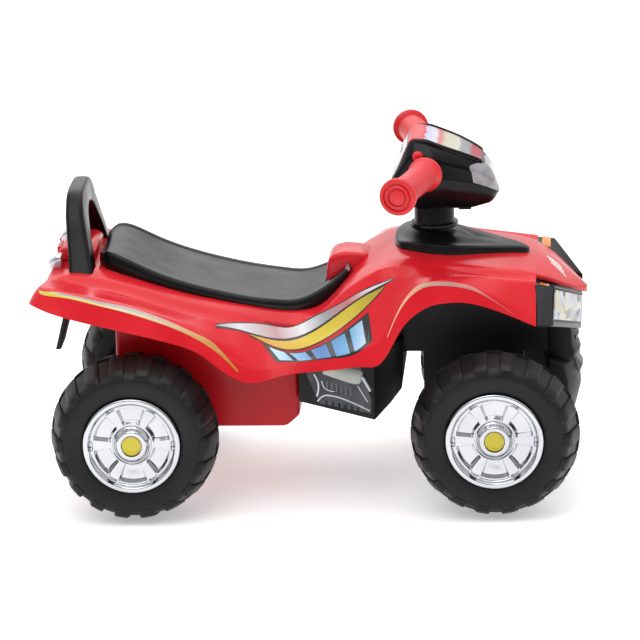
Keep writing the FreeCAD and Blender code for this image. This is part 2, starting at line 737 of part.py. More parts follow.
def pod_form(wall):
    """Handlebar pod: its side view crossed with its plan, less a wall."""
    half = size("pod_half_width")
    left = [Vector(STEER_X + x, y, 0) for x, y in POD_SIDE]
    right = [Vector(spot.x, -spot.y, 0) for spot in reversed(left)]
    front = Part.Arc(left[2], Vector(STEER_X + POD_TIP, 0, 0), right[0])
    back = Part.LineSegment(right[2], left[0])
    wire = Part.Wire([Part.Arc(*left).toShape(), front.toShape(), Part.Arc(*right).toShape(), back.toShape()])
    if not wall:
        plan = Part.Face(wire).extrude(Vector(0, 0, 600))
        return side_prism(POD_PROFILE, half + 5, STEER_X, AXLE_Z).common(plan)
    plan = Part.Face(wire.makeOffset2D(-wall)).extrude(Vector(0, 0, 600))
    return inset_prism(POD_PROFILE, half + 5, wall, STEER_X, AXLE_Z).common(plan)


def bars(radius, reach):
    """Handlebar tube swept back on both sides."""
    sweep = math.radians(size("grip_sweep"))
    apex = Vector(BAR_X, 0, AXLE_Z + size("grip_z"))
    solids = [Part.makeCylinder(radius, reach, apex, Vector(-math.sin(sweep), side * math.cos(sweep), 0))
              for _, side in SIDES]
    return solids[0].fuse([solids[1], Part.makeSphere(radius, apex)])


def handlebar_tube():
    """Steel tube through the pod and both grips."""
    reach = size("grip_end - 6")
    return bars(size("bar_radius"), reach).cut(bars(size("bar_radius - bar_wall"), reach))


BAR_X = STEER_X + 10.0
DASH_LOW = Vector(-46, 0, 259)
DASH_HIGH = Vector(-23, 0, 305)


def dash_point(share, y, out):
    """Point on the sloping dash: share up it, place across it, height off it."""
    run = DASH_HIGH - DASH_LOW
    normal = Vector(-run.z, 0, run.x).normalize()
    spot = DASH_LOW + run * share + normal * out
    return Vector(STEER_X + spot.x, y, AXLE_Z + spot.z), normal


DASH_BUTTONS = {"music_button_left": (0.55, 30.0), "music_button_right": (0.55, 12.0)}
BUTTON_DEPTH = 7.0
BUTTON_PROUD = 2.5
# The horn's button stands on the right cheek of the pod: x from the column, y of its two ends, height.
HORN_X = -15.0
HORN_ENDS = (-59.0, -48.0)
HORN_Z = 290.0


def pod_parts():
    """Pod halves, panels and lens, cut from one form so that they meet."""
    wall = size("pod_wall")
    outer = pod_form(0)
    shell = outer.cut(pod_form(wall))
    panel_half = size("panel_half_width")
    top_zone = side_prism([(-16, 299), (-16, 312), (42, 295), (40, 280)], panel_half, STEER_X, AXLE_Z)
    dash_zone = side_prism([(-58, 266), (-50, 264), (-36, 262), (-24, 290), (-30, 300), (-45, 300)],
                           panel_half,
                           STEER_X, AXLE_Z)
    lens_zone = side_prism([(48, 244), (48, 300), (100, 300), (100, 244)], 70, STEER_X, AXLE_Z)
    pieces = {"top_panel": shell.common(top_zone), "dash_panel": shell.common(dash_zone),
              "pod_lens": shell.common(lens_zone)}
    frame = shell.cut([top_zone, dash_zone, lens_zone, bars(size("bar_radius"), 90)])
    high = plan_prism([(STEER_X - 90, -90), (STEER_X + 110, -90), (STEER_X + 110, 90), (STEER_X - 90, 90)],
                      AXLE_Z + POD_SEAM, AXLE_Z + 330)
    pieces["pod_upper"] = frame.common(high)
    pieces["pod_lower"] = frame.cut(high).cut(upright_hole(STEER_X, size("rod_diameter / 2")))
    for share, y in DASH_BUTTONS.values():
        spot, normal = dash_point(share, y, -20)
        hole = Part.makeCylinder(size("music_radius") + size("button_gap"), 40, spot, normal)
        pieces["dash_panel"] = pieces["dash_panel"].cut(hole)
    start = Vector(STEER_X + HORN_X, HORN_ENDS[0], AXLE_Z + HORN_Z)
    horn_hole = Part.makeCylinder(size("horn_radius") + size("button_gap"), 20, start, Vector(0, 1, 0))
    pieces["pod_upper"] = pieces["pod_upper"].cut(horn_hole)
    return pieces


def tyre(name, width):
    """Hollow blow-moulded wheel with two rows of shoulder lugs, outer face towards +Y."""
    half = f"({width} / 2)"
    tread = "(wheel_radius - lug_height)"
    bore = "axle_diameter / 2 + running_gap"
    seat_radius = "(cover_radius + cover_gap)"
    outline = [(bore, f"6 - {half}"), ("20", f"6 - {half}"), ("22", f"14 - {half}"), ("54", f"14 - {half}"),
               ("59", f"3 - {half}"), (f"{tread} - 8", f"-{half}"), (f"{tread} - 2", f"4 - {half}"),
               (tread, f"13 - {half}"),
               (tread, f"{half} - 13"), (f"{tread} - 2", f"{half} - 4"), (f"{tread} - 8", half),
               (f"{seat_radius} + 3", f"{half} - 2"), (seat_radius, f"{half} - 5"),
               (seat_radius, f"{half} - cover_depth"), ("19", f"{half} - cover_depth"),
               ("19", f"{half} - 26"),
               (bore, f"{half} - 26")]
    hollow = [("24", f"14 + tyre_wall - {half}"), ("56", f"14 + tyre_wall - {half}"),
              ("61", f"3 + tyre_wall - {half}"), (f"{tread} - 9", f"tyre_wall - {half}"),
              (f"{tread} - tyre_wall", f"13 - {half}"), (f"{tread} - tyre_wall", f"{half} - 13"),
              (f"{tread} - 9", f"{half} - tyre_wall"),
              (f"{seat_radius} + tyre_wall", f"{half} - 2 - tyre_wall"),
              (f"{seat_radius} + tyre_wall", f"{half} - cover_depth - tyre_wall"),
              ("24", f"{half} - cover_depth - tyre_wall")]
    body = turned(name, outline, hollow)
    for row, turn in (("outer", 0.0), ("inner", 0.5)):
        lug = outline_sketch(body, f"{name}_{row}_lug", "XZ_Plane", [[
            (f"{tread} - 6", "-lug_width / 2 - 1"), ("wheel_radius", "-lug_width / 2"),
            ("wheel_radius", "lug_width / 2"), (f"{tread} - 6", "lug_width / 2 + 1")]])
        start = f"lug_reach * 0.5 - {half}" if row == "outer" else "-3"
        lug.AttachmentOffset = Placement(Vector(), Rotation(Vector(0, 0, 1), turn * 360 / size("lug_count")))
        lug.setExpression("AttachmentOffset.Base.z", bound(start))
        pad = body.newObject("PartDesign::Pad", f"{name}_{row}_pad")
        pad.Profile = lug
        bind(pad, Length=f"{half} - lug_reach * 0.5 + 3")
        patterned(body, pad, "lug_count", f"{name}_{row}_lugs")
    return body


def wheel_cover(name, width):
    """Chrome dish with trapezoid windows between its spokes."""
    half = f"({width} / 2)"
    outline = [("cap_radius", f"{half} - 3.5"), ("cap_radius", f"{half} - 0.5"), ("17", f"{half} - 0.5"),
               ("20", f"{half} - 5"), ("44", f"{half} - 8"), ("46.5", f"{half} - 2"), ("48.5", half),
               ("cover_radius - 1.5", half), ("cover_radius", f"{half} - 2"),
               ("cover_radius", f"{half} - cover_depth"),
               ("cover_radius - cover_wall", f"{half} - cover_depth"),
               ("cover_radius - cover_wall", f"{half} - 9"),
               ("44", f"{half} - 8 - cover_wall"), ("19", f"{half} - 5 - cover_wall"),
               ("2", f"{half} - 4 - cover_wall"),
               ("2", f"{half} - 3.5")]
    body = turned(name, outline)
    window = outline_sketch(body, f"{name}_window", "XZ_Plane", [[
        ("24", "-4"), ("40", "-10"), ("40", "10"), ("24", "4")]])
    window.AttachmentOffset = Placement(Vector(), Rotation(Vector(0, 0, 1), 180 / size("window_count")))
    window.setExpression("AttachmentOffset.Base.z", bound(f"-{half} - 1"))
    pocket = body.newObject("PartDesign::Pocket", f"{name}_pocket")
    pocket.Profile = window
    bind(pocket, Length="8 + window_depth")
    pocket.Reversed = True
    patterned(body, pocket, "window_count", f"{name}_windows")
    return body


def wheel_cap(name, width):
    """Round yellow cap in the middle of the cover."""
    half = f"({width} / 2)"
    return turned(name, [("0.5", f"{half} - 3.5"), ("cap_radius - 0.3", f"{half} - 3.5"),
                         ("cap_radius - 0.3", f"{half} - 1"), ("cap_radius - 2", f"{half} - 0.2"),
                         ("0.5", half)])


def wheels():
    """Four tyres with covers and caps, at their axles."""
    for end, axle_x in (("rear", "rear_axle_x"), ("front", FRONT)):
        for hand, side in SIDES:
            width = f"{end}_tyre_width"
            turn = Rotation(Vector(0, 0, 1), 0 if side > 0 else 180)
            for kind, maker in (("tyre", tyre), ("wheel_cover", wheel_cover), ("wheel_cap", wheel_cap)):
                node = f"{kind}_{end}_{hand}"
                body = maker(node, width)
                place(body, axle_x, f"{side} * {end}_tyre_mid", "wheel_radius", turn)
                keep(node, body)


def rear_axle():
    """Steel rod in two brackets under the tub, with a push nut at each end."""
    reach = "(rear_tyre_mid + rear_tyre_width / 2 - 20)"
    keep("rear_axle", rod("rear_axle", "y", "axle_diameter / 2", f"2 * {reach}", "rear_axle_x", f"-{reach}",
                          "wheel_radius"))
    brackets = []
    nuts = []
    for hand, side in SIDES:
        hub = "(rear_tyre_mid - rear_tyre_width / 2 + 6)"
        base = block(f"bracket_{hand}_base", "32", "14", "25 + 14", "rear_axle_x", f"{side} * 76",
                     "wheel_radius - 14")
        sleeve_start = "70" if side > 0 else f"-({hub} - 0.5)"
        sleeve = rod(f"bracket_{hand}_sleeve", "y", "9", f"{hub} - 0.5 - 70", "rear_axle_x", sleeve_start,
                     "wheel_radius")
        bore = rod(f"bracket_{hand}_bore", "y", "axle_diameter / 2", "400", "rear_axle_x", "-200",
                   "wheel_radius")
        brackets.append(cut(f"bracket_{hand}", fuse(f"bracket_{hand}_form", base, sleeve), bore))
        nut_start = "(rear_tyre_mid + rear_tyre_width / 2 - 25.5)"
        nut_y = nut_start if side > 0 else f"-({nut_start} + nut_thickness)"
        nut = rod(f"nut_{hand}_form", "y", "nut_radius", "nut_thickness", "rear_axle_x", nut_y,
                  "wheel_radius")
        nut_bore = rod(f"nut_{hand}_bore", "y", "axle_diameter / 2", "400", "rear_axle_x", "-200",
                       "wheel_radius")
        nuts.append(cut(f"nut_{hand}", nut, nut_bore))
    keep("axle_brackets", group("axle_brackets", *brackets))
    keep("rear_axle_nuts", group("rear_axle_nuts", *nuts))


LINK_Z = "(wheel_radius + arm_floor_z)"
TIE_Z = "(wheel_radius + arm_floor_z + arm_height + 0.4)"


def link_arm(name, x, y):
    """Flat arm that points forward from a pivot to an upright link pin."""
    bar = block(f"{name}_bar", "arm_length", "arm_width", "arm_height", f"{x} + arm_length / 2", y, LINK_Z)
    eye = rod(f"{name}_eye", "z", "arm_width / 2", "arm_height", f"{x} + arm_length", y, LINK_Z)
    pin = rod(f"{name}_pin", "z", "link_pin_diameter / 2", "arm_height + tie_height + 3", f"{x} + arm_length",
              y, LINK_Z)
    return [bar, eye, pin]


def steering_linkage():
    """Beam, kingpins, knuckles, stub axles, rod, drop arm, tie plate and bushes."""
    span = "2 * kingpin_y"
    beam_bar = block("beam_bar", "beam_length", span, "beam_height", FRONT, "0",
                     "wheel_radius + beam_floor_z")
    ends = [rod(f"beam_{hand}_end", "z", "beam_length / 2", "beam_height", FRONT, f"{side} * kingpin_y",
                "wheel_radius + beam_floor_z") for hand, side in SIDES]
    bores = [rod(f"beam_{hand}_bore", "z", "kingpin_diameter / 2", "400", FRONT, f"{side} * kingpin_y", "0")
             for hand, side in SIDES]
    keep("axle_beam", cut("axle_beam", fuse("beam_form", beam_bar, *ends), *bores))
    pins = []
    for hand, side in SIDES:
        y = f"{side} * kingpin_y"
        low = f"{LINK_Z} - 5"
        shaft = rod(f"kingpin_{hand}_shaft", "z", "kingpin_diameter / 2",
                    "beam_floor_z + beam_height - arm_floor_z + 5", FRONT, y, low)
        head = rod(f"kingpin_{hand}_head", "z", "nut_radius - 2", "4", FRONT, y,
                   "wheel_radius + beam_floor_z + beam_height")
        clip = rod(f"kingpin_{hand}_clip", "z", "nut_radius - 2", "3", FRONT, y, f"{LINK_Z} - 3.4")
        pins.append(fuse(f"kingpin_{hand}", shaft, head, clip))
        knuckle_form = [rod(f"knuckle_{hand}_hub", "z", "knuckle_radius", "beam_floor_z - arm_floor_z - 0.4",
                            FRONT, y, LINK_Z)]
        boss = "(front_tyre_mid - front_tyre_width / 2 + 6 - 0.5 - kingpin_y)"
        knuckle_form.append(block(f"knuckle_{hand}_boss", "20", boss, "16", FRONT,
                                  f"{side} * (kingpin_y + {boss} / 2)", "wheel_radius + beam_floor_z - 16.4"))
        knuckle_form += link_arm(f"knuckle_{hand}_arm", FRONT, y)
        pin_bore = rod(f"knuckle_{hand}_bore", "z", "kingpin_diameter / 2 + running_gap", "400", FRONT, y,
                       "0")
        stub_reach = "(front_tyre_mid + front_tyre_width / 2 - 20)"
        stub_from = "(kingpin_y + kingpin_diameter / 2 + 2)"
        stub_y = stub_from if side > 0 else f"-{stub_reach}"
        stub_bore = rod(f"knuckle_{hand}_stub_bore", "y", "axle_diameter / 2", f"{stub_reach} - {stub_from}",
                        FRONT,
                        stub_y, "wheel_radius")
        keep(f"knuckle_{hand}",
             cut(f"knuckle_{hand}", fuse(f"knuckle_{hand}_form", *knuckle_form), pin_bore, stub_bore))
        stub = rod(f"stub_{hand}_shaft", "y", "axle_diameter / 2", f"{stub_reach} - {stub_from}", FRONT,
                   stub_y,
                   "wheel_radius")
        nut_y = "(front_tyre_mid + front_tyre_width / 2 - 25.5)"
        nut_start = nut_y if side > 0 else f"-({nut_y} + nut_thickness)"
        nut = rod(f"stub_{hand}_nut", "y", "nut_radius", "nut_thickness", FRONT, nut_start, "wheel_radius")
        keep(f"stub_axle_{hand}", fuse(f"stub_axle_{hand}", stub, nut))
    keep("kingpins", group("kingpins", *pins))
    rod_top = "(wheel_radius + grip_z - bar_radius - 6)"
    keep("steering_rod",
         rod("steering_rod", "z", "rod_diameter / 2", f"{rod_top} - {LINK_Z}", STEER, "0", LINK_Z))
    hub = rod("drop_arm_hub", "z", "rod_diameter / 2 + 5", "arm_height + 6", STEER, "0", LINK_Z)
    drop = fuse("drop_arm_form", hub, *link_arm("drop_arm", STEER, "0"))
    drop_bore = rod("drop_arm_bore", "z", "rod_diameter / 2", "400", STEER, "0", "0")
    keep("drop_arm", cut("drop_arm", drop, drop_bore))
    reach = "(-steering_x)"
    tongue = block("tie_tongue", reach, "arm_width", "tie_height", f"{STEER} + arm_length + {reach} / 2", "0",
                   TIE_Z)
    bar = block("tie_bar", "arm_width", span, "tie_height", f"{FRONT} + arm_length", "0", TIE_Z)
    rounds = [rod("tie_tongue_end", "z", "arm_width / 2", "tie_height", f"{STEER} + arm_length", "0", TIE_Z)]
    holes = [rod("tie_tongue_hole", "z", "link_pin_diameter / 2 + running_gap", "400",
                 f"{STEER} + arm_length", "0", "0")]
    for hand, side in SIDES:
        y = f"{side} * kingpin_y"
        rounds.append(rod(f"tie_{hand}_end", "z", "arm_width / 2", "tie_height", f"{FRONT} + arm_length", y,
                          TIE_Z))
        holes.append(rod(f"tie_{hand}_hole", "z", "link_pin_diameter / 2 + open_gap", "400",
                         f"{FRONT} + arm_length", y, "0"))
    keep("tie_plate", cut("tie_plate", fuse("tie_form", tongue, bar, *rounds), *holes))
    bushes = []
    for place_name, low in (("lower", "wheel_radius + keel_floor_z"), ("upper", "wheel_radius + 182")):
        sleeve = rod(f"bush_{place_name}_form", "z", "bush_radius", "bush_height", STEER, "0", low)
        bore = rod(f"bush_{place_name}_bore", "z", "rod_diameter / 2 + running_gap", "400", STEER, "0", "0")
        bushes.append(cut(f"column_bush_{place_name}", sleeve, bore))
    keep("column_bushes", group("column_bushes", *bushes))


POST_Z = "(wheel_radius + 199.4)"
POD_FLOOR = "(wheel_radius + 225)"


def steering_post():
    """Round cover over the rod between hood and pod, flared at its foot."""
    tube = rod("post_tube", "z", "post_radius", f"{POD_FLOOR} - {POST_Z}", STEER, "0", POST_Z)
    flare = rod("post_flare", "z", "post_radius + 4", "5", STEER, "0", POST_Z)
    bore = rod("post_bore", "z", "post_radius - post_wall", "400", STEER, "0", "0")
    keep("post_cover", cut("post_cover", fuse("post_form", tube, flare), bore))


def grips():
    """Red grips with an end flange of rings and an inner collar."""
    for hand, side in SIDES:
        body = turned(f"grip_{hand}", [
            ("bar_radius", "grip_start"), ("grip_radius + 3", "grip_start"),
            ("grip_radius + 3", "grip_start + 7"),
            ("grip_radius", "grip_start + 10"), ("grip_radius - 0.8", "(grip_start + grip_end) / 2"),
            ("grip_radius", "grip_end - 9"), ("flange_radius", "grip_end - 7"),
            ("flange_radius", "grip_end - 1.5"),
            ("flange_radius - 2", "grip_end"), ("15", "grip_end"), ("14", "grip_end - 1.5"),
            ("11", "grip_end - 1.5"),
            ("10", "grip_end"), ("0", "grip_end"), ("0", "grip_end - 6"), ("bar_radius", "grip_end - 6")])
        sweep = size("grip_sweep") if side > 0 else 180 - size("grip_sweep")
        place(body, f"{STEER} + 10", "0", "wheel_radius + grip_z", Rotation(Vector(0, 0, 1), sweep))
        keep(f"grip_{hand}", body)


def buttons():
    """Music buttons in the sloping dash and the horn's button on the pod's right cheek."""
    for node, (share, y) in DASH_BUTTONS.items():
        spot, normal = dash_point(share, y, -BUTTON_DEPTH)
        item = doc.addObject("Part::Cylinder", node)
        bind(item, Radius="music_radius")
        item.Height = BUTTON_DEPTH + BUTTON_PROUD
        item.Placement = Placement(spot, Rotation(Vector(0, 0, 1), normal))
        keep(node, item)
    near, far = HORN_ENDS
    keep("horn_button",
         rod("horn_button", "y", "horn_radius", str(far - near), f"{STEER} + {HORN_X}", str(near),
                            f"wheel_radius + {HORN_Z}"))


def small_pieces():
    """Sound unit, battery cover, tail lamp, seat pin and beam bolts."""
    keep("sound_unit", block("sound_unit", "32", "52", "24", f"{STEER} + 23", "0", f"{POD_FLOOR} + pod_wall"))
    keep("battery_cover",
         block("battery_cover", "14", "50", "2.5", f"{STEER} + 35", "0", f"{POD_FLOOR} - 2.5"))
    keep("tail_lamp", block("tail_lamp", "4", "30", "9", "rear_axle_x - 93", "0", "wheel_radius + 172.5"))
    pin_x = f"{FRONT} + seat_pin_x + (seat_pin_x + {FENDER_REACH}) * (waist_stretch - 1)"
    pin = rod("seat_hinge_pin", "y", "seat_pin_diameter / 2", "2 * seat_pin_half", pin_x,
              "-seat_pin_half", "wheel_radius + seat_pin_z")
    keep("seat_hinge_pin", pin)
    bolts = [rod(f"bolt_{across}_{along}", "z", "screw_radius + 1.5", "3.5", f"{FRONT} + {along * 8}",
                 f"{across * 18}",
                 "wheel_radius + beam_floor_z - 3.5") for across in (-1, 1) for along in (-1, 1)]
    keep("beam_bolts", group("beam_bolts", *bolts))


def build():
    """Make every sub-part."""
    shell = body_shell()
    body = filled_body()
    forms = {"body_shell": shell, "storage_tub": storage_tub(shell), "foot_rest": foot_rest(),
             "spine": spine(shell), "keel": keel(), "seat": seat(), "backrest": backrest(body),
             "tail_cowl": tail_cowl(body), "reflectors": reflectors(body),
             "mud_flap": mud_flap(shell), "column_base": column_base(body), "bumper": bumper(),
             "handlebar_tube": handlebar_tube()}
    for hand, side in SIDES:
        bezel, lens = headlight(side)
        forms[f"headlight_bezel_{hand}"] = bezel
        forms[f"headlight_lens_{hand}"] = lens
        forms[f"engine_panel_{hand}"] = engine_panel(side)
    forms.update(pod_parts())
    for node, shape in forms.items():
        keep(node, shaped(node, shape))
    wheels()
    rear_axle()
    steering_linkage()
    steering_post()
    grips()
    buttons()
    small_pieces()


def check_and_write():
    """Stop on any failed object, then write each sub-part's solids."""
    doc.recompute()
    failed = [item.Name for item in doc.Objects if "Invalid" in item.State or "Error" in item.State]
    broken = [node for node, item in nodes.items() if item.Shape.isNull() or not item.Shape.isValid()]
    if failed or broken:
        raise RuntimeError(f"failed {failed} broken {broken}")
    os.makedirs("parts", exist_ok=True)
    for node, item in nodes.items():
        item.Shape.exportStep(os.path.join("parts", f"{node}.step"))
        print(node, len(item.Shape.Solids), round(item.Shape.Volume))


build()
check_and_write()
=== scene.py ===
"""Kids quad bike: the looks of a foot-to-floor ride-on toy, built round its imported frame.

Lengths in the tables are millimetres in the frame's own axes: X forward, Y to the rider's left, Z up.
"""
from __future__ import annotations

import json
import logging
import math
from dataclasses import dataclass
from enum import Enum
from typing import Callable, Iterable, Sequence

import bmesh
import bpy
from mathutils import Matrix, Vector
from mathutils.bvhtree import BVHTree

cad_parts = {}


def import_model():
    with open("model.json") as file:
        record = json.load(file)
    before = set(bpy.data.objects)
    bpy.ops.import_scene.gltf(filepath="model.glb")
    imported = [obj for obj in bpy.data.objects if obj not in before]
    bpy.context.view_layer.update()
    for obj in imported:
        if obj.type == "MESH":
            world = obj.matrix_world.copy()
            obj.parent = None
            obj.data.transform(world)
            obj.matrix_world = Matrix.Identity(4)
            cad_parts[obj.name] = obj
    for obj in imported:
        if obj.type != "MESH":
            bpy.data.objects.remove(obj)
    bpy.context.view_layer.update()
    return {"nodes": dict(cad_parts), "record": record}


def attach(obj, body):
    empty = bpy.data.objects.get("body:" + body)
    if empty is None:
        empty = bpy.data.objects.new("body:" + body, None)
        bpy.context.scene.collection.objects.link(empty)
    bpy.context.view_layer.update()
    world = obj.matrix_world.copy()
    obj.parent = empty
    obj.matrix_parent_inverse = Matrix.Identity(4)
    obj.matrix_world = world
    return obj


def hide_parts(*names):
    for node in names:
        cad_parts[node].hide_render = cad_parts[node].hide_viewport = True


LOG = logging.getLogger("quad_bike")
MM = 0.001
Spot = tuple[float, float]
Place = tuple[float, float, float]
Ray = tuple[Place, Place]
Line = Sequence[Sequence[float]]
Rows = Sequence[Line]
Piece = bpy.types.Object
Socket = bpy.types.NodeSocket
NodeTree = bpy.types.NodeTree
Cut = tuple[Spot, Spot, Spot, float]


class Side(Enum):
    """Hand of the bike, with the sign of its Y."""

    LEFT = 1
    RIGHT = -1

    @property
    def word(self) -> str:
        """Lower-case name, as in the frame's node names."""
        return self.name.lower()


class End(Enum):
    """End of the bike, as in the frame's node names."""

    FRONT = "front"
    REAR = "rear"


def linear(colour: str) -> tuple[float, float, float, float]:
    """Turn an sRGB hex colour to linear light.

    Args:
        colour: Hex text such as "#c21a22".

    Returns:
        Linear red, green, blue and full alpha.
    """
    def channel(text: str) -> float:
        """One channel from its two hex digits."""
        value = int(text, 16) / 255
        return value / 12.92 if value <= 0.04045 else ((value + 0.055) / 1.055) ** 2.4
    return channel(colour[1:3]), channel(colour[3:5]), channel(colour[5:7]), 1.0


def per_size(size_mm: float) -> float:
    """Texture scale that repeats once in a size of so many millimetres."""
    return 1.0 / (size_mm * MM)


def share_of(low: float, high: float, value: float) -> float:
    """Share of the way from low to high that a value has gone, kept between 0 and 1."""
    return min(max((value - low) / (high - low), 0.0), 1.0)


def eased(low: float, high: float, value: float) -> float:
    """Share of the way from low to high, level at both ends."""
    share = share_of(low, high, value)
    return share * share * (3 - 2 * share)


def add(tree: NodeTree, kind: str, links: dict | None = None, **settings) -> bpy.types.Node:
    """Add one node with its settings, values and links.

    Args:
        tree: Tree that gets the node.
        kind: Blender's type name of the node.
        links: Input name or number to the output that feeds it, or to a plain value.
        **settings: Attributes of the node itself.

    Returns:
        The new node.
    """
    node = tree.nodes.new(kind)
    for name, value in settings.items():
        setattr(node, name, value)
    for name, source in (links or {}).items():
        if isinstance(source, Socket):
            tree.links.new(source, node.inputs[name])
        else:
            node.inputs[name].default_value = source
    return node


def ramp(tree: NodeTree, factor: Socket, stops: Sequence[tuple[float, str]]) -> Socket:
    """Colour ramp with hex stops.

    Args:
        tree: Tree that gets the node.
        factor: Output that drives the ramp.
        stops: Position and hex colour of each stop, in order.

    Returns:
        The ramp's colour output.
    """
    node = add(tree, "ShaderNodeValToRGB", {"Fac": factor})
    elements = node.color_ramp.elements
    while len(elements) < len(stops):
        elements.new(0.5)
    for element, (position, colour) in zip(elements, stops):
        element.position = position
        element.color = linear(colour)
    return node.outputs["Color"]


@dataclass(frozen=True)
class Finish:
    """A surface: what it is made of and how it was made."""

    name: str
    colour: str
    shade: str
    roughness: float = 0.3
    metallic: float = 0.0
    coat: float = 0.0
    grain_mm: float = 1.5
    grain_depth_mm: float = 0.02
    cloud_mm: float = 70.0
    smear: float = 0.06
    specular: float = 0.5
    gleam: str = "#ffffff"
    glow: float = 0.0
    handled_mm: float = 34.0
    coat_roughness: float = 0.08

    def colours(self, tree: NodeTree, spot: Socket) -> Socket:
        """Slow drift between the colour and its shade, as pigment streaks give."""
        cloud = add(tree, "ShaderNodeTexNoise", {"Vector": spot, "Scale": per_size(self.cloud_mm), "Detail": 3.0})
        return ramp(tree, cloud.outputs["Fac"], [(0.35, self.shade), (0.65, self.colour)])

    def relief(self, tree: NodeTree, spot: Socket) -> Socket:
        """Height of the moulded grain, from 0 to 1."""
        grain = add(tree, "ShaderNodeTexNoise", {"Vector": spot, "Scale": per_size(self.grain_mm), "Detail": 2.0})
        return grain.outputs["Fac"]

    def material(self) -> bpy.types.Material:
        """Material of this finish, made once.

        Returns:
            The node material.
        """
        known = bpy.data.materials.get(self.name)
        if known:
            return known
        made = bpy.data.materials.new(self.name)
        made.use_nodes = True
        tree = made.node_tree
        tree.nodes.clear()
        spot = add(tree, "ShaderNodeTexCoord").outputs["Object"]
        handled = add(tree, "ShaderNodeTexNoise", {"Vector": spot, "Scale": per_size(self.handled_mm), "Detail": 4.0})
        rough = add(tree, "ShaderNodeMapRange", {
            "Value": handled.outputs["Fac"], "From Min": 0.3, "From Max": 0.7,
            "To Min": max(0.02, self.roughness - self.smear), "To Max": self.roughness + self.smear})
        bump = add(tree, "ShaderNodeBump", {
            "Height": self.relief(tree, spot), "Strength": 1.0, "Distance": self.grain_depth_mm * MM})
        shader = add(tree, "ShaderNodeBsdfPrincipled", {
            "Base Color": self.colours(tree, spot), "Roughness": rough.outputs["Result"],
            "Metallic": self.metallic, "Specular IOR Level": self.specular, "Specular Tint": linear(self.gleam),
            "Coat Weight": self.coat, "Coat Roughness": self.coat_roughness, "Normal": bump.outputs["Normal"],
            "Emission Color": linear(self.colour), "Emission Strength": self.glow})
        add(tree, "ShaderNodeOutputMaterial", {"Surface": shader.outputs["BSDF"]})
        made.diffuse_color = linear(self.colour)
        return made


@dataclass(frozen=True)
class PrintedFilm(Finish):
    """Printed sticker film: colours that run along the bike, with fine dots of ink."""

    stops: tuple[tuple[float, str], ...] = ()
    start_mm: float = -300.0
    end_mm: float = 300.0
    tilt: float = 0.0
    level_mm: float = 200.0
    ink_mm: float = 9.0
    bleed: float = 0.008

    def colours(self, tree: NodeTree, spot: Socket) -> Socket:
        """Stops spread along X, tilted about a level, broken by a print grain.

        Args:
            tree: The material's tree.
            spot: Object coordinates.

        Returns:
            Colour output.
        """
        axes = add(tree, "ShaderNodeSeparateXYZ", {0: spot})
        lean = add(tree, "ShaderNodeMath", {0: axes.outputs["Z"], 1: self.tilt, 2: axes.outputs["X"]},
                   operation="MULTIPLY_ADD")
        ink = add(tree, "ShaderNodeTexNoise", {"Vector": spot, "Scale": per_size(self.ink_mm), "Detail": 4.0})
        blur = add(tree, "ShaderNodeMath", {0: ink.outputs["Fac"], 1: self.bleed, 2: lean.outputs[0]},
                   operation="MULTIPLY_ADD")
        rise = self.tilt * self.level_mm
        place = add(tree, "ShaderNodeMapRange", {
            "Value": blur.outputs[0], "From Min": (self.start_mm + rise) * MM, "From Max": (self.end_mm + rise) * MM})
        return ramp(tree, place.outputs["Result"], self.stops)


@dataclass(frozen=True)
class RibbedLens(Finish):
    """Moulded lamp lens with fine prisms behind it."""

    rib_mm: float = 4.0

    def relief(self, tree: NodeTree, spot: Socket) -> Socket:
        """Upright prisms across the bike."""
        ribs = add(tree, "ShaderNodeTexWave", {"Vector": spot, "Scale": per_size(self.rib_mm) / math.tau},
                   bands_direction="Y")
        return ribs.outputs["Fac"]


@dataclass(frozen=True)
class FacetedLens(Finish):
    """Clear lens with flat facets behind it."""

    facet_mm: float = 9.0

    def cells(self, tree: NodeTree, spot: Socket) -> Socket:
        """One grey value for each facet."""
        facets = add(tree, "ShaderNodeTexVoronoi", {"Vector": spot, "Scale": per_size(self.facet_mm)})
        return add(tree, "ShaderNodeSeparateColor", {0: facets.outputs["Color"]}).outputs[0]

    def colours(self, tree: NodeTree, spot: Socket) -> Socket:
        """White, lilac, warm and dark facets: painted reflections and painted shade."""
        return ramp(tree, self.cells(tree, spot), [
            (0.0, "#cfd1d8"), (0.3, "#b0b3ca"), (0.5, "#d2cfbe"), (0.68, "#bdb48c"), (0.84, "#8d90a4"),
            (1.0, "#5b5e6a")])

    def relief(self, tree: NodeTree, spot: Socket) -> Socket:
        """Each facet at its own height."""
        return self.cells(tree, spot)


# ABS pigmented red, injection moulded in a polished tool: wet gloss with a faint orange peel.
RED_ABS = Finish("red_abs", "#d92530", "#ce1d28", 0.22, grain_mm=2.2, grain_depth_mm=0.012, specular=0.4,
                 gleam="#ffc8c4")
# The same plastic on the box below, its colour darkened as painted shade under the body, and a little duller.
RED_BOX_PAINTED_SHADE = Finish("red_abs_box", "#bd141d", "#ad0f17", 0.3, grain_mm=2.0, grain_depth_mm=0.012, specular=0.25)
# Grips: softer red vinyl with a fine matt skin.
RED_GRIP = Finish("red_vinyl_grip", "#dc2029", "#cf1820", 0.4, grain_mm=1.0, grain_depth_mm=0.02)
# Polypropylene pigmented black, polished tool: dark gloss.
BLACK_GLOSS = Finish("black_pp_gloss", "#131314", "#0c0c0d", 0.22, grain_mm=1.6, grain_depth_mm=0.012,
                     specular=0.2)
# Polypropylene with a spark-eroded grain of about a millimetre: satin black.
BLACK_GRAIN = Finish("black_pp_grain", "#161617", "#0f0f10", 0.46, grain_mm=1.1, grain_depth_mm=0.05, specular=0.25)
# Seat lid and backrest: black ABS, satin from a fine etched tool.
SEAT_BLACK = Finish("black_abs_satin", "#101011", "#0b0b0c", 0.3, grain_mm=1.2, grain_depth_mm=0.03, specular=0.25)
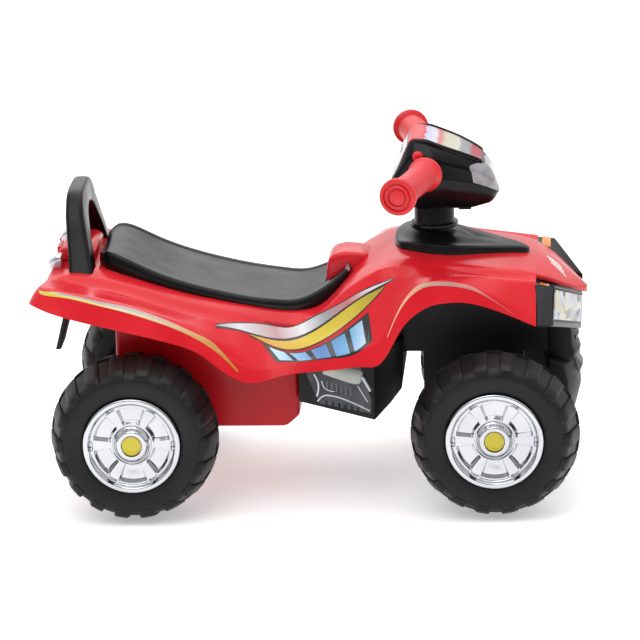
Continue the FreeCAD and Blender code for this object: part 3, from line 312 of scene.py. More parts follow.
# Blow-moulded polyethylene tyre: dull black with a waxy haze.
TYRE_PE = Finish("black_pe_tyre", "#141415", "#0e0e0f", 0.5, grain_mm=2.5, grain_depth_mm=0.05, cloud_mm=40.0,
                 specular=0.3)
# Vacuum-plated ABS: mirror with faint ripples.
PLATED = Finish("plated_abs_chrome", "#c9cbce", "#bcbec2", 0.09, metallic=1.0, grain_mm=14.0, grain_depth_mm=0.08,
                smear=0.04)
# Zinc-plated mild steel rod: dull bright metal.
STEEL = Finish("zinc_steel", "#a9abae", "#8f9194", 0.34, metallic=1.0, grain_mm=0.8, grain_depth_mm=0.01)
# Silver lacquer on ABS: fine metal flake.
SILVER = Finish("silver_lacquer", "#c9cbce", "#b4b6ba", 0.25, metallic=0.85, grain_mm=0.9, grain_depth_mm=0.01)
# Yellow ABS of the wheel caps: plain gloss.
YELLOW = Finish("yellow_abs", "#cfc12a", "#c1b01d", 0.28, coat=0.2)
# Grey ABS of trim and bushes: smooth and half dull.
GREY = Finish("grey_abs", "#6f7173", "#5c5e60", 0.4)
# Charcoal polypropylene of the lamp cheeks: plain and dull, a tone lighter than the black round it.
CHARCOAL = Finish("charcoal_pp", "#38383a", "#303032", 0.45, grain_mm=1.1, grain_depth_mm=0.03, specular=0.25)
# Dark grey ABS of the engine relief, sprayed with a thin metal lacquer.
GUNMETAL = Finish("gunmetal_lacquer", "#4a4d50", "#35373a", 0.32, metallic=0.6, grain_mm=1.2, grain_depth_mm=0.04,
                  cloud_mm=18.0)
# Pale grey-green ABS of the barrel on it.
PALE_ABS = Finish("pale_abs", "#c3cac2", "#b1b9b1", 0.3, coat=0.2)
# Amber acrylic of the side markers, with upright prisms of four millimetres.
AMBER = RibbedLens("amber_lens", "#e08a1c", "#cf7410", 0.15, coat=0.6, grain_depth_mm=0.15)
# Red acrylic of the tail lamp, with the same prisms.
RED_LENS = RibbedLens("red_lens", "#9c0b22", "#7f0619", 0.14, coat=0.6, grain_depth_mm=0.2)
# Clear acrylic over a metallised back: bright silver broken by prisms.
REFLECTOR = RibbedLens("silver_reflector", "#d6d9df", "#aeb4c0", 0.12, metallic=0.55, coat=1.0, grain_depth_mm=0.35)
# Clear lens over a metallised faceted bowl, facets of about a centimetre; their lilac, white, warm and dark colours are
# painted reflections and painted shade.
LAMP_LENS = FacetedLens("lamp_facets", "#dfe2ea", "#8f93a6", 0.2, coat=0.2, specular=0.3)
# Smoked acrylic of the pod's front lens: pale, clouded and glossy.
SMOKE_LENS = Finish("smoked_lens", "#9b999d", "#7d7c81", 0.16, coat=0.8, cloud_mm=14.0)
# Paper sweep of the studio: matt white with a faint grain, lifted by a glow of its own.
STUDIO_PAPER = Finish("studio_paper", "#fbfbfb", "#f8f8f8", 0.85, grain_mm=4.0, glow=0.4)
# Sticker film, gloss laminated: every colour is printed.
SPEAR_GREY = PrintedFilm("film_spear_grey", "#a39a9c", "#8a8486", 0.25, coat=0.4, start_mm=-300, end_mm=-76, stops=(
    (0.0, "#d6ccd6"), (0.05, "#cfc93c"), (0.11, "#c8c03e"), (0.17, "#948e90"), (0.45, "#a0989a"), (0.62, "#b8a79e"),
    (0.8, "#c99b62"), (1.0, "#c98433")))
SPEAR_GOLD = PrintedFilm("film_spear_gold", "#d2c63c", "#c9b040", 0.25, coat=0.4, start_mm=-300, end_mm=-76, stops=(
    (0.0, "#d6ccd6"), (0.1, "#d0c840"), (0.3, "#d2c63c"), (0.45, "#d8cda2"), (0.62, "#d2b48a"), (0.8, "#cf9f58"),
    (1.0, "#c98433")))
STEEL_FILM = PrintedFilm("film_steel", "#c9ccd0", "#8a8d92", 0.28, coat=0.4, start_mm=-102, end_mm=94, tilt=0.5,
                         stops=(
    (0.0, "#77797e"), (0.16, "#d6d8dc"), (0.34, "#b98f92"), (0.5, "#dcdde1"), (0.66, "#96999f"), (0.84, "#c06a6e"),
    (1.0, "#d4d5d8")))
SWOOSH_FILM = PrintedFilm("film_swoosh", "#e8c92a", "#d59f14", 0.25, coat=0.4, start_mm=-64, end_mm=120, tilt=0.6,
                          stops=((0.0, "#cf8f1c"), (0.35, "#d8bf2c"), (0.7, "#c4b01f"), (1.0, "#9f861a")))
BLUE_FILM = PrintedFilm("film_blue", "#3b7fb5", "#2a5e92", 0.25, coat=0.4, start_mm=-50, end_mm=75, stops=(
    (0.0, "#dcecf6"), (0.3, "#8cc2e4"), (0.55, "#3c6fb4"), (0.78, "#5aa3d0"), (1.0, "#cfe4f2")))
BLACK_FILM = PrintedFilm("film_black", "#161618", "#0d0d0e", 0.25, coat=0.4, start_mm=-80, end_mm=110,
                         stops=((0.0, "#26262a"), (1.0, "#161618")))
PALE_FILM = PrintedFilm("film_pale", "#e9c9c4", "#e0a9a2", 0.3, coat=0.3, start_mm=86, end_mm=232, stops=(
    (0.0, "#e6b0a0"), (0.16, "#e9b184"), (0.32, "#c9a08a"), (0.5, "#b98f86"), (0.72, "#cf7f76"), (1.0, "#cc2a30")))
BADGE_FILM = PrintedFilm("film_badge", "#f0dede", "#e2c4c4", 0.3, coat=0.3, start_mm=262, end_mm=288, stops=(
    (0.0, "#efdcd8"), (1.0, "#e4c8c6")))
DASH_FILM = PrintedFilm("film_dash", "#b9bcc2", "#9aa0a8", 0.35, coat=0.1, specular=0.25, start_mm=108, end_mm=192,
                        tilt=0.4, level_mm=384, stops=(
    (0.0, "#cf1d27"), (0.35, "#cf1d27"), (0.37, "#b6bcd8"), (0.47, "#d4d2da"), (0.52, "#c9606a"), (0.58, "#c4bfa4"),
    (0.72, "#c9c6b2"), (0.75, "#8f9097"), (0.84, "#8f9097"), (0.87, "#a83846"), (1.0, "#b23c48")))


def mesh_piece(name: str, points: Iterable[Sequence[float]], faces: Sequence[Sequence[int]],
               finish: Finish, scale: float = MM, crease: float = 40.0) -> Piece:
    """New mesh object at the origin, its faces turned outwards.

    Args:
        name: Name of the piece.
        points: Corners, in millimetres unless scale says otherwise.
        faces: Corner numbers of each face.
        finish: Surface of the whole piece.
        scale: Metres in one unit of the points.
        crease: Angle in degrees above which an edge stays sharp.

    Returns:
        The linked object.
    """
    mesh = bpy.data.meshes.new(name)
    mesh.from_pydata([tuple(value * scale for value in point) for point in points], [], [list(f) for f in faces])
    form = bmesh.new()
    form.from_mesh(mesh)
    bmesh.ops.remove_doubles(form, verts=form.verts, dist=1e-6)
    bmesh.ops.recalc_face_normals(form, faces=form.faces)
    form.to_mesh(mesh)
    form.free()
    piece = linked(name, mesh)
    mesh.materials.append(finish.material())
    shade(mesh, crease)
    return piece


def linked(name: str, data: bpy.types.ID) -> Piece:
    """New object for a mesh, light or camera, linked at the origin.

    Args:
        name: Name of the object.
        data: What it shows.

    Returns:
        The object.
    """
    piece = bpy.data.objects.new(name, data)
    bpy.context.scene.collection.objects.link(piece)
    return piece


def shade(mesh: bpy.types.Mesh, crease: float) -> None:
    """Smooth shading with edges sharper than the crease angle kept."""
    mesh.shade_smooth()
    mesh.set_sharp_from_angle(angle=math.radians(crease))


def baked(piece: Piece, crease: float = 40.0) -> Piece:
    """Turn a piece's modifiers into a plain mesh.

    Args:
        piece: Object with modifiers.
        crease: Angle in degrees above which an edge stays sharp.

    Returns:
        The same object, without modifiers.
    """
    graph = bpy.context.evaluated_depsgraph_get()
    mesh = bpy.data.meshes.new_from_object(piece.evaluated_get(graph), depsgraph=graph)
    piece.modifiers.clear()
    piece.data = mesh
    shade(mesh, crease)
    return piece


def seat_on(piece: Piece, body: str, slot: str, *nodes: str) -> Piece:
    """Let a piece ride on a body and stand for nodes.

    Args:
        piece: Finished piece at the origin.
        body: Body of the frame.
        slot: Material slot of the record; not used.
        *nodes: Nodes that the piece stands for.

    Returns:
        The piece.
    """
    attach(piece, body)
    if nodes:
        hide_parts(*nodes)
    LOG.info("%s rides on %s", piece.name, body)
    return piece


def softened(node: str, body: str, slot: str, finish: Finish, width_mm: float) -> Piece:
    """Stand-in for a node with its moulded edges rounded.

    Args:
        node: Node of the frame.
        body: Body that it rides on.
        slot: Material slot of the record.
        finish: Surface.
        width_mm: Width of the rounding.

    Returns:
        The new piece.
    """
    form = bmesh.new()
    form.from_mesh(bpy.data.objects[node].data)
    bmesh.ops.remove_doubles(form, verts=form.verts, dist=2e-6)
    bmesh.ops.dissolve_limit(form, angle_limit=math.radians(1.0), verts=form.verts, edges=form.edges)
    mesh = bpy.data.meshes.new(f"{node}_moulded")
    form.to_mesh(mesh)
    form.free()
    mesh.materials.append(finish.material())
    return seat_on(bevelled(linked(mesh.name, mesh), width_mm), body, slot, node)


def spline(knots: Sequence[float], values: Sequence[float]) -> Callable[[float], float]:
    """Smooth cubic curve through values at knots, straight at both ends.

    Args:
        knots: Rising places.
        values: Value at each place.

    Returns:
        Function of the place.
    """
    count = len(knots)
    gaps = [knots[i + 1] - knots[i] for i in range(count - 1)]
    bend = [0.0] * count
    lower = [0.0] * count
    for i in range(1, count - 1):
        slope = (values[i + 1] - values[i]) / gaps[i] - (values[i] - values[i - 1]) / gaps[i - 1]
        pivot = 2 * (gaps[i - 1] + gaps[i]) - gaps[i - 1] * lower[i - 1]
        lower[i] = gaps[i] / pivot
        bend[i] = (6 * slope - gaps[i - 1] * bend[i - 1]) / pivot
    for i in range(count - 2, 0, -1):
        bend[i] -= lower[i] * bend[i + 1]

    def at(place: float) -> float:
        """Value at a place.

        Args:
            place: Where along the knots.

        Returns:
            Value of the curve.
        """
        i = min(max(sum(knot <= place for knot in knots) - 1, 0), count - 2)
        left, right = knots[i + 1] - place, place - knots[i]
        gap = gaps[i]
        return ((bend[i] * left ** 3 + bend[i + 1] * right ** 3) / (6 * gap)
                + (values[i] / gap - bend[i] * gap / 6) * left
                + (values[i + 1] / gap - bend[i + 1] * gap / 6) * right)
    return at


def rounded(points: Line, radii: Sequence[float], steps: int) -> list[Vector]:
    """Polyline with its inner corners swept round.

    Args:
        points: Corners of the line.
        radii: Reach of the rounding at each corner.
        steps: Points in each rounding.

    Returns:
        Points of the rounded line; always the same number for the same steps.
    """
    corners = [Vector(point) for point in points]
    line = [corners[0]]
    for before, corner, after, radius in zip(corners, corners[1:], corners[2:], radii[1:]):
        start = corner.lerp(before, min(0.48, radius / max((before - corner).length, 1e-6)))
        end = corner.lerp(after, min(0.48, radius / max((after - corner).length, 1e-6)))
        for step in range(steps):
            share = step / (steps - 1)
            line.append(start.lerp(corner, share).lerp(corner.lerp(end, share), share))
    line.append(corners[-1])
    return line


def ring(corners: Line, reach: float, steps: int) -> list[Vector]:
    """Closed loop with its corners swept round.

    Args:
        corners: Corners in order.
        reach: Reach of the rounding.
        steps: Points in each rounding.

    Returns:
        Points of the loop, the first not repeated.
    """
    middle = (Vector(corners[-1]) + Vector(corners[0])) / 2
    return rounded([middle, *corners, middle], [reach] * (len(corners) + 2), steps)[:-1]


def loft(rows: Rows, closed: bool = False) -> tuple[list, list]:
    """Points and quads of a skin through rows of points.

    Args:
        rows: Rows with the same number of points.
        closed: True where each row closes on itself.

    Returns:
        Points and faces for mesh_piece.
    """
    width = len(rows[0])
    points = [point for row in rows for point in row]
    span = width if closed else width - 1
    faces = [(r * width + c, r * width + (c + 1) % width, (r + 1) * width + (c + 1) % width, (r + 1) * width + c)
             for r in range(len(rows) - 1) for c in range(span)]
    return points, faces


def capped(rows: Rows) -> tuple[list, list]:
    """Points and faces of a skin through closed rows, with a face over each end.

    Args:
        rows: Closed rows with the same number of points.

    Returns:
        Points and faces for mesh_piece.
    """
    points, faces = loft(rows, closed=True)
    width, count = len(rows[0]), len(points)
    return points, faces + [list(range(width)), list(range(count - width, count))]


def prism(name: str, first: Line, second: Line, finish: Finish) -> Piece:
    """Closed piece between two outlines with as many corners."""
    return mesh_piece(name, *capped([first, second]), finish)


def upright_prism(name: str, outline: Sequence[Spot], low: float, high: float, finish: Finish) -> Piece:
    """Closed piece of a plan outline between two heights."""
    return prism(name, [(x, y, low) for x, y in outline], [(x, y, high) for x, y in outline], finish)


def turned(profile: Sequence[Spot], steps: int) -> tuple[list, list]:
    """Skin of a closed profile of (radius, place along Y) turned about Y.

    Args:
        profile: Closed outline.
        steps: Faces round the turn.

    Returns:
        Points and faces for mesh_piece.
    """
    rows = []
    for step in range(steps):
        angle = math.tau * step / steps
        rows.append([(radius * math.cos(angle), along, radius * math.sin(angle)) for radius, along in profile])
    rows.append(rows[0])
    return loft(rows, closed=True)


def thicken(piece: Piece, wall_mm: float) -> Piece:
    """Give an open skin a wall on its inner side, and bake it.

    Args:
        piece: Skin that faces outwards.
        wall_mm: Thickness of the wall.

    Returns:
        The same object.
    """
    wall = piece.modifiers.new("wall", "SOLIDIFY")
    wall.thickness = wall_mm * MM
    wall.offset = -1.0
    return baked(piece)


def bevelled(piece: Piece, round_mm: float, segments: int = 3, angle: float = 25.0) -> Piece:
    """Round a closed piece's sharp edges, and bake it.

    Args:
        piece: Closed piece.
        round_mm: Width of the rounding.
        segments: Steps across it.
        angle: Angle in degrees above which an edge is rounded.

    Returns:
        The same object.
    """
    edge = piece.modifiers.new("edge", "BEVEL")
    edge.width = round_mm * MM
    edge.segments = segments
    edge.limit_method = "ANGLE"
    edge.angle_limit = math.radians(angle)
    return baked(piece)


def carved(piece: Piece, tools: Sequence[Piece]) -> Piece:
    """Cut closed tools out of a closed piece, and bake it.

    Args:
        piece: Piece that stays.
        tools: Shapes to cut away; they are removed.

    Returns:
        The piece.
    """
    for tool in tools:
        cutter = piece.modifiers.new(tool.name, "BOOLEAN")
        cutter.operation = "DIFFERENCE"
        cutter.object = tool
        cutter.solver = "MANIFOLD"
    baked(piece)
    for tool in tools:
        bpy.data.objects.remove(tool)
    return piece


class GeometryTree:
    """Geometry Nodes tree with named inputs, run on a piece and baked."""

    def __init__(self, name: str, **inputs: str) -> None:
        """Start the tree with its sockets.

        Args:
            name: Name of the tree.
            **inputs: Name and kind of each input beside the shape and its finish.
        """
        self.tree = bpy.data.node_groups.new(name, "GeometryNodeTree")
        sockets = self.tree.interface
        self.keys = {label: sockets.new_socket(label, in_out="INPUT", socket_type=f"NodeSocket{kind}").identifier
                     for label, kind in {"Geometry": "Geometry", **inputs, "Finish": "Material"}.items()}
        sockets.new_socket("Geometry", in_out="OUTPUT", socket_type="NodeSocketGeometry")
        self.given = add(self.tree, "NodeGroupInput").outputs

    def close(self, shape: Socket) -> None:
        """End the tree with real, dressed geometry.

        Args:
            shape: Output with the finished shape.
        """
        solid = add(self.tree, "GeometryNodeRealizeInstances", {0: shape})
        dressed = add(self.tree, "GeometryNodeSetMaterial", {
            "Geometry": solid.outputs[0], "Material": self.given["Finish"]})
        add(self.tree, "NodeGroupOutput", {0: dressed.outputs[0]})

    def run(self, piece: Piece, finish: Finish, **values: object) -> Piece:
        """Run the tree on a piece and bake the result.

        Args:
            piece: Piece that gives the geometry.
            finish: Surface of the result.
            **values: Value of each named input.

        Returns:
            The same object with a plain mesh.
        """
        modifier = piece.modifiers.new(self.tree.name, "NODES")
        modifier.node_group = self.tree
        for label, value in values.items():
            modifier[self.keys[label]] = value
        modifier[self.keys["Finish"]] = finish.material()
        return baked(piece)


class Copies(GeometryTree):
    """Tree that repeats a shape in a row or a ring."""

    def __init__(self) -> None:
        """Build the tree with its named inputs."""
        super().__init__("copies_in_order", Count="Int", Step="Vector", Turn="Float", Start="Float")
        tree, given = self.tree, self.given
        number = add(tree, "GeometryNodeInputIndex").outputs[0]
        shift = add(tree, "ShaderNodeVectorMath", {0: given["Step"], "Scale": number}, operation="SCALE")
        spots = add(tree, "GeometryNodePoints", {"Count": given["Count"], "Position": shift.outputs[0]})
        angle = add(tree, "ShaderNodeMath", {0: number, 1: given["Turn"], 2: given["Start"]},
                    operation="MULTIPLY_ADD")
        about_y = add(tree, "ShaderNodeCombineXYZ", {"Y": angle.outputs[0]})
        spin = add(tree, "FunctionNodeEulerToRotation", {0: about_y.outputs[0]})
        copies = add(tree, "GeometryNodeInstanceOnPoints", {
            "Points": spots.outputs[0], "Instance": given["Geometry"], "Rotation": spin.outputs[0]})
        self.close(copies.outputs[0])

    def repeat(self, piece: Piece, count: int, finish: Finish, step: Place = (0, 0, 0), turn: float = 0.0,
               start: float = 0.0) -> Piece:
        """Repeat a piece and bake the copies to one mesh.

        Args:
            piece: Shape to repeat, placed about the origin.
            count: Number of copies.
            finish: Surface of all copies.
            step: Millimetres from each copy to the next.
            turn: Angle about Y from each copy to the next.
            start: Angle of the first copy.

        Returns:
            The same object with all copies in its mesh.
        """
        return self.run(piece, finish, Count=count, Step=[value * MM for value in step], Turn=turn, Start=start)


class Tubes(GeometryTree):
    """Tree that sweeps a round section along a line of points."""

    def __init__(self, sides: int = 12) -> None:
        """Build the tree with its named inputs.

        Args:
            sides: Points round the section.
        """
        super().__init__("tube_on_path", Radius="Float")
        path = add(self.tree, "GeometryNodeMeshToCurve", {0: self.given["Geometry"]})
        section = add(self.tree, "GeometryNodeCurvePrimitiveCircle", {
            "Resolution": sides, "Radius": self.given["Radius"]})
        tube = add(self.tree, "GeometryNodeCurveToMesh", {
            "Curve": path.outputs[0], "Profile Curve": section.outputs[0], "Fill Caps": True})
        self.close(tube.outputs[0])

    def along(self, name: str, points: Sequence[Place], radius: float, finish: Finish) -> Piece:
        """Tube through points.

        Args:
            name: Name of the piece.
            points: Line in millimetres.
            radius: Radius in millimetres.
            finish: Surface.

        Returns:
            The plain mesh.
        """
        mesh = bpy.data.meshes.new(name)
        mesh.from_pydata([Vector(point) * MM for point in points], [(i, i + 1) for i in range(len(points) - 1)], [])
        return self.run(linked(name, mesh), finish, Radius=radius * MM)


def moved(piece: Piece, matrix: Matrix) -> Piece:
    """Place a piece by moving its mesh, not its object.

    Args:
        piece: Piece at the origin.
        matrix: Move in metres.

    Returns:
        The same object.
    """
    piece.data.transform(matrix)
    piece.data.update()
    return piece


def at(x: float, y: float, z: float) -> Matrix:
    """Translation in millimetres."""
    return Matrix.Translation((x * MM, y * MM, z * MM))


@dataclass(eq=False)
class LongLine:
    """A line that runs the length of the body: rows of x, half width and height."""

    rows: Sequence[Place]

    def __post_init__(self) -> None:
        """Fit the smooth curves."""
        xs = [row[0] for row in self.rows]
        self.half = spline(xs, [row[1] for row in self.rows])
        self.height = spline(xs, [row[2] for row in self.rows])

    def at(self, x: float) -> Place:
        """Point of the line on the left side."""
        return x, self.half(x), self.height(x)


@dataclass
class BodyMoulding:
    """Red upper body: fenders, waist and hood, with the beak and the tank nose."""

    start: float = -306.0
    end: float = 250.0
    tip: float = 306.0
    stations: int = 140
    tip_stations: int = 16
    wall: float = 2.5
    round_start: float = 5.0
    round_shares: tuple[float, ...] = (0.03, 0.1, 0.22)
    half_width: float = 150.0
    deck: LongLine = LongLine((
        (-306, 70, 262), (-265, 76, 265), (-236, 77, 264), (-215, 77, 259.5), (-185, 77, 250), (-146, 77, 238),
        (-113, 77, 230), (-62, 76.5, 220), (-8, 72, 213.8), (12, 68, 219), (32, 65, 236.5), (46, 62, 250.5),
        (62, 62, 261.5), (79, 66, 268.5), (103, 78, 273.5), (130, 81, 272), (167, 83, 266.8), (204, 83, 262.5),
        (230, 80, 259), (250, 75, 254.8)))
    root: LongLine = LongLine((
        (-306, 92, 260.5), (-265, 96, 262.5), (-215, 96, 254.5), (-185, 95, 246), (-146, 94, 233), (-113, 93, 225),
        (-62, 91, 213), (-8, 90, 206), (12, 90, 216.5), (32, 90.5, 234.5), (62, 92, 256), (79, 94, 265.5),
        (103, 94, 268), (130, 93, 267), (167, 91.5, 261), (204, 90, 256), (250, 86, 250)))
    edge: LongLine = LongLine((
        (-306, 134, 258.5), (-288, 146, 262.8), (-265, 148, 258.5), (-215, 148, 247), (-146, 144, 224),
        (-113, 138, 208), (-92, 132, 193), (-62, 122, 181), (-8, 114, 187), (32, 114, 197.6), (62, 115, 212.8),
        (91, 117, 236.4), (115, 116, 256.1), (149, 112, 262.9), (184, 109, 260.7), (250, 104, 253.9)))
    brim: LongLine = LongLine((
        (-306, 140, 256), (-288, 155, 259.8), (-265, 158, 254.5), (-215, 159.5, 243), (-146, 157, 219),
        (-113, 152.5, 202.5), (-92, 146.5, 185), (-62, 136, 165.5), (-8, 129.5, 172), (32, 130, 178.6),
        (62, 131, 185.8), (79, 132, 195.1), (91, 132.5, 214.2), (103, 132.5, 234.3), (115, 132, 248.5),
        (130, 131, 259.6), (149, 130, 261.9), (184, 129, 252.2), (218, 127, 235.8), (250, 125, 220.6)))
    hem: LongLine = LongLine((
        (-306, 143, 243), (-288, 157, 238.5), (-265, 161, 231.5), (-215, 163, 219), (-146, 160.5, 200.5),
        (-113, 157, 184.5), (-92, 152, 165.5), (-76, 146, 154.5), (-62, 141, 150), (-34, 136, 155.5),
        (-8, 134.5, 159.5), (32, 135, 163.1), (62, 136, 165.9), (79, 136.5, 169.8), (91, 136.5, 187.4),
        (103, 136.5, 208.9), (115, 136, 222), (130, 135.5, 232.3), (149, 135, 237.2), (167, 134, 237.9),
        (201, 132.5, 230), (250, 130, 208.9)))
    crown: LongLine = LongLine((
        (-306, 0, 0), (-233, 0, 0), (-163, 0, 0), (-93, 0, 0), (-43, 0, 0), (-8, 0, 0), (12, 0, 0), (32, 0, 0),
        (47, 0, 0.2), (62, 0, 2.5), (103, 0, 6), (130, 0, 7), (204, 0, 5.5), (250, 0, 4)))
    beak: LongLine = LongLine((
        (250, 75, 254.8), (262, 67, 249.7), (280, 48.5, 238.4), (295, 27, 227.8), (306, 6, 221)))
    beak_crown: LongLine = LongLine((
        (250, 0, 4), (262, 0, 6.6), (280, 0, 5.6), (295, 0, 3.6), (306, 0, 1)))
    beak_depth: float = 6.5
    beak_lip: float = 1.5
    radii: tuple[float, ...] = (0, 2.5, 4, 9, 3, 6, 70)
    beak_radii: tuple[float, ...] = (0, 3, 40, 3, 0)
    round_steps: int = 6
    # Valley between deck and fender: depth, share of the way across, stations where it comes and goes.
    valley: float = 7.0
    valley_share: float = 0.24
    valley_rise: Spot = (-300.0, -260.0)
    valley_fall: Spot = (-70.0, -140.0)
    # Tail's edge: where it starts, how far it is drawn in and leans, half widths between which that fades.
    tail_from: float = -250.0
    tail_sweep: float = 8.0
    tail_lean: float = 0.5
    tail_corner: Spot = (142.0, 100.0)
    # Openings: half the outline under the seat, the column's hole, heights between which both are cut.
    seat_well: tuple[Spot, ...] = ((-223, 58), (-212, 66), (-30, 64), (0, 56), (7, 48))
    column: float = 136.0
    column_hole: float = 9.0
    cut_heights: Spot = (150.0, 330.0)
    nose_half: float = 26.0
    nose_round: float = 5.0
    nose_profile: tuple[Spot, ...] = ((15, 214), (15, 245), (17, 258), (22, 265), (35, 268), (50, 267), (65, 263.5),
                                      (65, 230))

    def section(self, x: float) -> list[Vector]:
        """Rounded cross-section from the right hem over the top to the left hem.

        Args:
            x: Station along the body.

        Returns:
            Points of the section.
        """
        shrink = 0.0
        near = x - self.start
        if near < self.round_start:
            shrink = self.round_start - math.sqrt(self.round_start ** 2 - (self.round_start - near) ** 2)
        left = [line.at(x) for line in (self.hem, self.brim, self.edge, self.root, self.deck)]
        dip = Vector(left[3]).lerp(Vector(left[2]), self.valley_share)
        left.insert(3, (x, dip.y, dip.z - self.valley * eased(*self.valley_rise, x) * eased(*self.valley_fall, x)))
        top = (x, 0.0, self.deck.height(x) + self.crown.height(x))
        right = [(px, -py, pz) for px, py, pz in left]
        corners = right + [top] + left[::-1]
        low = left[0][2]
        drawn = [(px, py * (1 - shrink / self.half_width), max(low, pz - shrink)) for px, py, pz in corners]
        return [self.swept(spot) for spot in rounded(drawn, self.radii + self.radii[-2::-1], self.round_steps)]

    def swept(self, spot: Vector) -> Vector:
        """Lean the tail's edge forward, and draw it in between its two corners.

        Args:
            spot: Point of the plain skin.

        Returns:
            The point where it belongs.
        """
        share = share_of(self.tail_from, self.start, spot.x)
        drawn = self.tail_sweep * share * share * eased(*self.tail_corner, abs(spot.y))
        leaned = self.tail_lean * share ** 4 * max(0.0, spot.z - self.hem.height(self.start))
        return Vector((spot.x + drawn + leaned, spot.y, spot.z))

    def beak_section(self, x: float) -> list[Vector]:
        """Cross-section of the hood's tip from its right lower edge to its left one.

        Args:
            x: Station along the tip.

        Returns:
            Points of the section.
        """
        half, height, crown = self.beak.half(x), self.beak.height(x), self.beak_crown.height(x)
        low, lip = height - self.beak_depth, height - self.beak_lip
        corners = [(x, 1 - half, low), (x, -half, lip), (x, 0, height + crown), (x, half, lip), (x, half - 1, low)]
        return rounded(corners, self.beak_radii, self.round_steps)

    def build(self) -> Piece:
        """Skin, wall, beak and nose in one piece.

        Returns:
            The moulding, with the seat opening and the column's hole cut.
        """
        xs = [self.start + (self.end - self.start) * (step / self.stations) for step in range(self.stations + 1)]
        xs[1:1] = [self.start + self.round_start * share for share in self.round_shares]
        xs.sort()
        rows = [self.section(x) for x in xs]
        low = min(spot.z for spot in rows[0])
        points, faces = loft([[(spot.x, spot.y, low) for spot in rows[0]]] + rows)
        skin = thicken(mesh_piece("body_moulding", points, faces, RED_ABS), self.wall)
        self.cut(skin)
        joined(skin, [self.hood_beak(), self.nose()])
        return seat_on(skin, "chassis", "red_plastic", "body_shell")

    def hood_beak(self) -> Piece:
        """Tip of the hood, closed at its front.

        Returns:
            The walled tip.
        """
        run = self.tip - self.end
        rows = [self.beak_section(self.end + run * step / self.tip_stations) for step in range(self.tip_stations + 1)]
        points, faces = loft(rows)
        faces.append(list(range(len(points) - len(rows[0]), len(points))))
        return thicken(mesh_piece("hood_beak", points, faces, RED_ABS), self.wall)

    def cut(self, skin: Piece) -> None:
        """Open the deck under the seat and round the steering column.

        Args:
            skin: The walled skin.
        """
        outline = list(self.seat_well) + [(x, -y) for x, y in reversed(self.seat_well)]
        well = upright_prism("seat_well", outline, *self.cut_heights, RED_ABS)
        turns = [step * math.tau / 32 for step in range(32)]
        edge = [(self.column + self.column_hole * math.cos(turn), self.column_hole * math.sin(turn)) for turn in turns]
        hole = upright_prism("column_hole", edge, *self.cut_heights, RED_ABS)
        carved(skin, (well, hole))

    def nose(self) -> Piece:
        """Rounded tongue of the tank in front of the seat.

        Returns:
            The closed tongue.
        """
        right, left = ([(x, y, z) for x, z in self.nose_profile] for y in (-self.nose_half, self.nose_half))
        return bevelled(prism("tank_nose", right, left, RED_ABS), self.nose_round, segments=4, angle=40)


def joined(base: Piece, others: Sequence[Piece]) -> Piece:
    """Put other pieces' meshes into the base piece.

    Args:
        base: Piece that stays.
        others: Pieces that go into it.

    Returns:
        The base piece.
    """
    form = bmesh.new()
    form.from_mesh(base.data)
    for other in others:
        first = len(form.faces)
        form.from_mesh(other.data)
        form.faces.ensure_lookup_table()
        names = [slot.name for slot in base.data.materials]
        for index in range(first, len(form.faces)):
            face = form.faces[index]
            finish = other.data.materials[face.material_index]
            if finish.name not in names:
                base.data.materials.append(finish)
                names.append(finish.name)
            face.material_index = names.index(finish.name)
        bpy.data.objects.remove(other)
    form.to_mesh(base.data)
    form.free()
    base.data.update()
    return base


@dataclass
class SeatLid:
    """Black seat lid with a rounded rim."""

    start: float = -236.0
    end: float = 40.0
    stations: int = 60
    wall: float = 3.0
    lift: float = 0.5
    # Corners of the rim: out from the half width, share of the height, drop below the top.
    rim: tuple[Place, ...] = ((0, 0, 0), (0.6, 0.45, 0), (-2, 1, 0), (-9, 1, 0), (-12, 1, 1.8))
    dish: float = 2.6
    radii: tuple[float, ...] = (0, 3, 4, 2, 3, 40)
    round_steps: int = 6
    notch: tuple[Spot, ...] = ((13.5, -27.5), (13.5, 27.5), (60, 27.5), (60, -27.5))
    notch_heights: Spot = (200.0, 290.0)
    side: LongLine = LongLine((
        (-236, 50, 276), (-231, 62, 280), (-222, 71, 281.5), (-205, 75.5, 275.5), (-185, 76, 265.5), (-146, 76, 250),
        (-107, 76, 239), (-67, 76, 230.5), (-37, 74.5, 226.5), (-15, 71, 226), (3, 66, 231.5), (22, 58, 242),
        (40, 48, 256)))

    def build(self, body: BodyMoulding) -> Piece:
        """Lofted lid with the notch for the tank nose.

        Args:
            body: Moulding whose deck the lid follows.

        Returns:
            The lid.
        """
        rows = []
        for step in range(self.stations + 1):
            x = self.start + (self.end - self.start) * step / self.stations
            half, top = self.side.half(x), self.side.height(x)
            low = body.deck.height(x) + self.lift
            left = [(x, half + out, low + share * (top - low) - drop) for out, share, drop in self.rim]
            corners = [(px, -py, pz) for px, py, pz in left] + [(x, 0, top - self.dish)] + left[::-1]
            rows.append(rounded(corners, self.radii + self.radii[-2::-1], self.round_steps))
        points, faces = loft(rows)
        width = len(rows[0])
        faces.append(list(range(width))[::-1])
        faces.append([self.stations * width + column for column in range(width)])
        lid = thicken(mesh_piece("seat_lid", points, faces, SEAT_BLACK), self.wall)
        carved(lid, (upright_prism("nose_notch", self.notch, *self.notch_heights, SEAT_BLACK),))
        return seat_on(lid, "seat", "black_plastic", "seat")


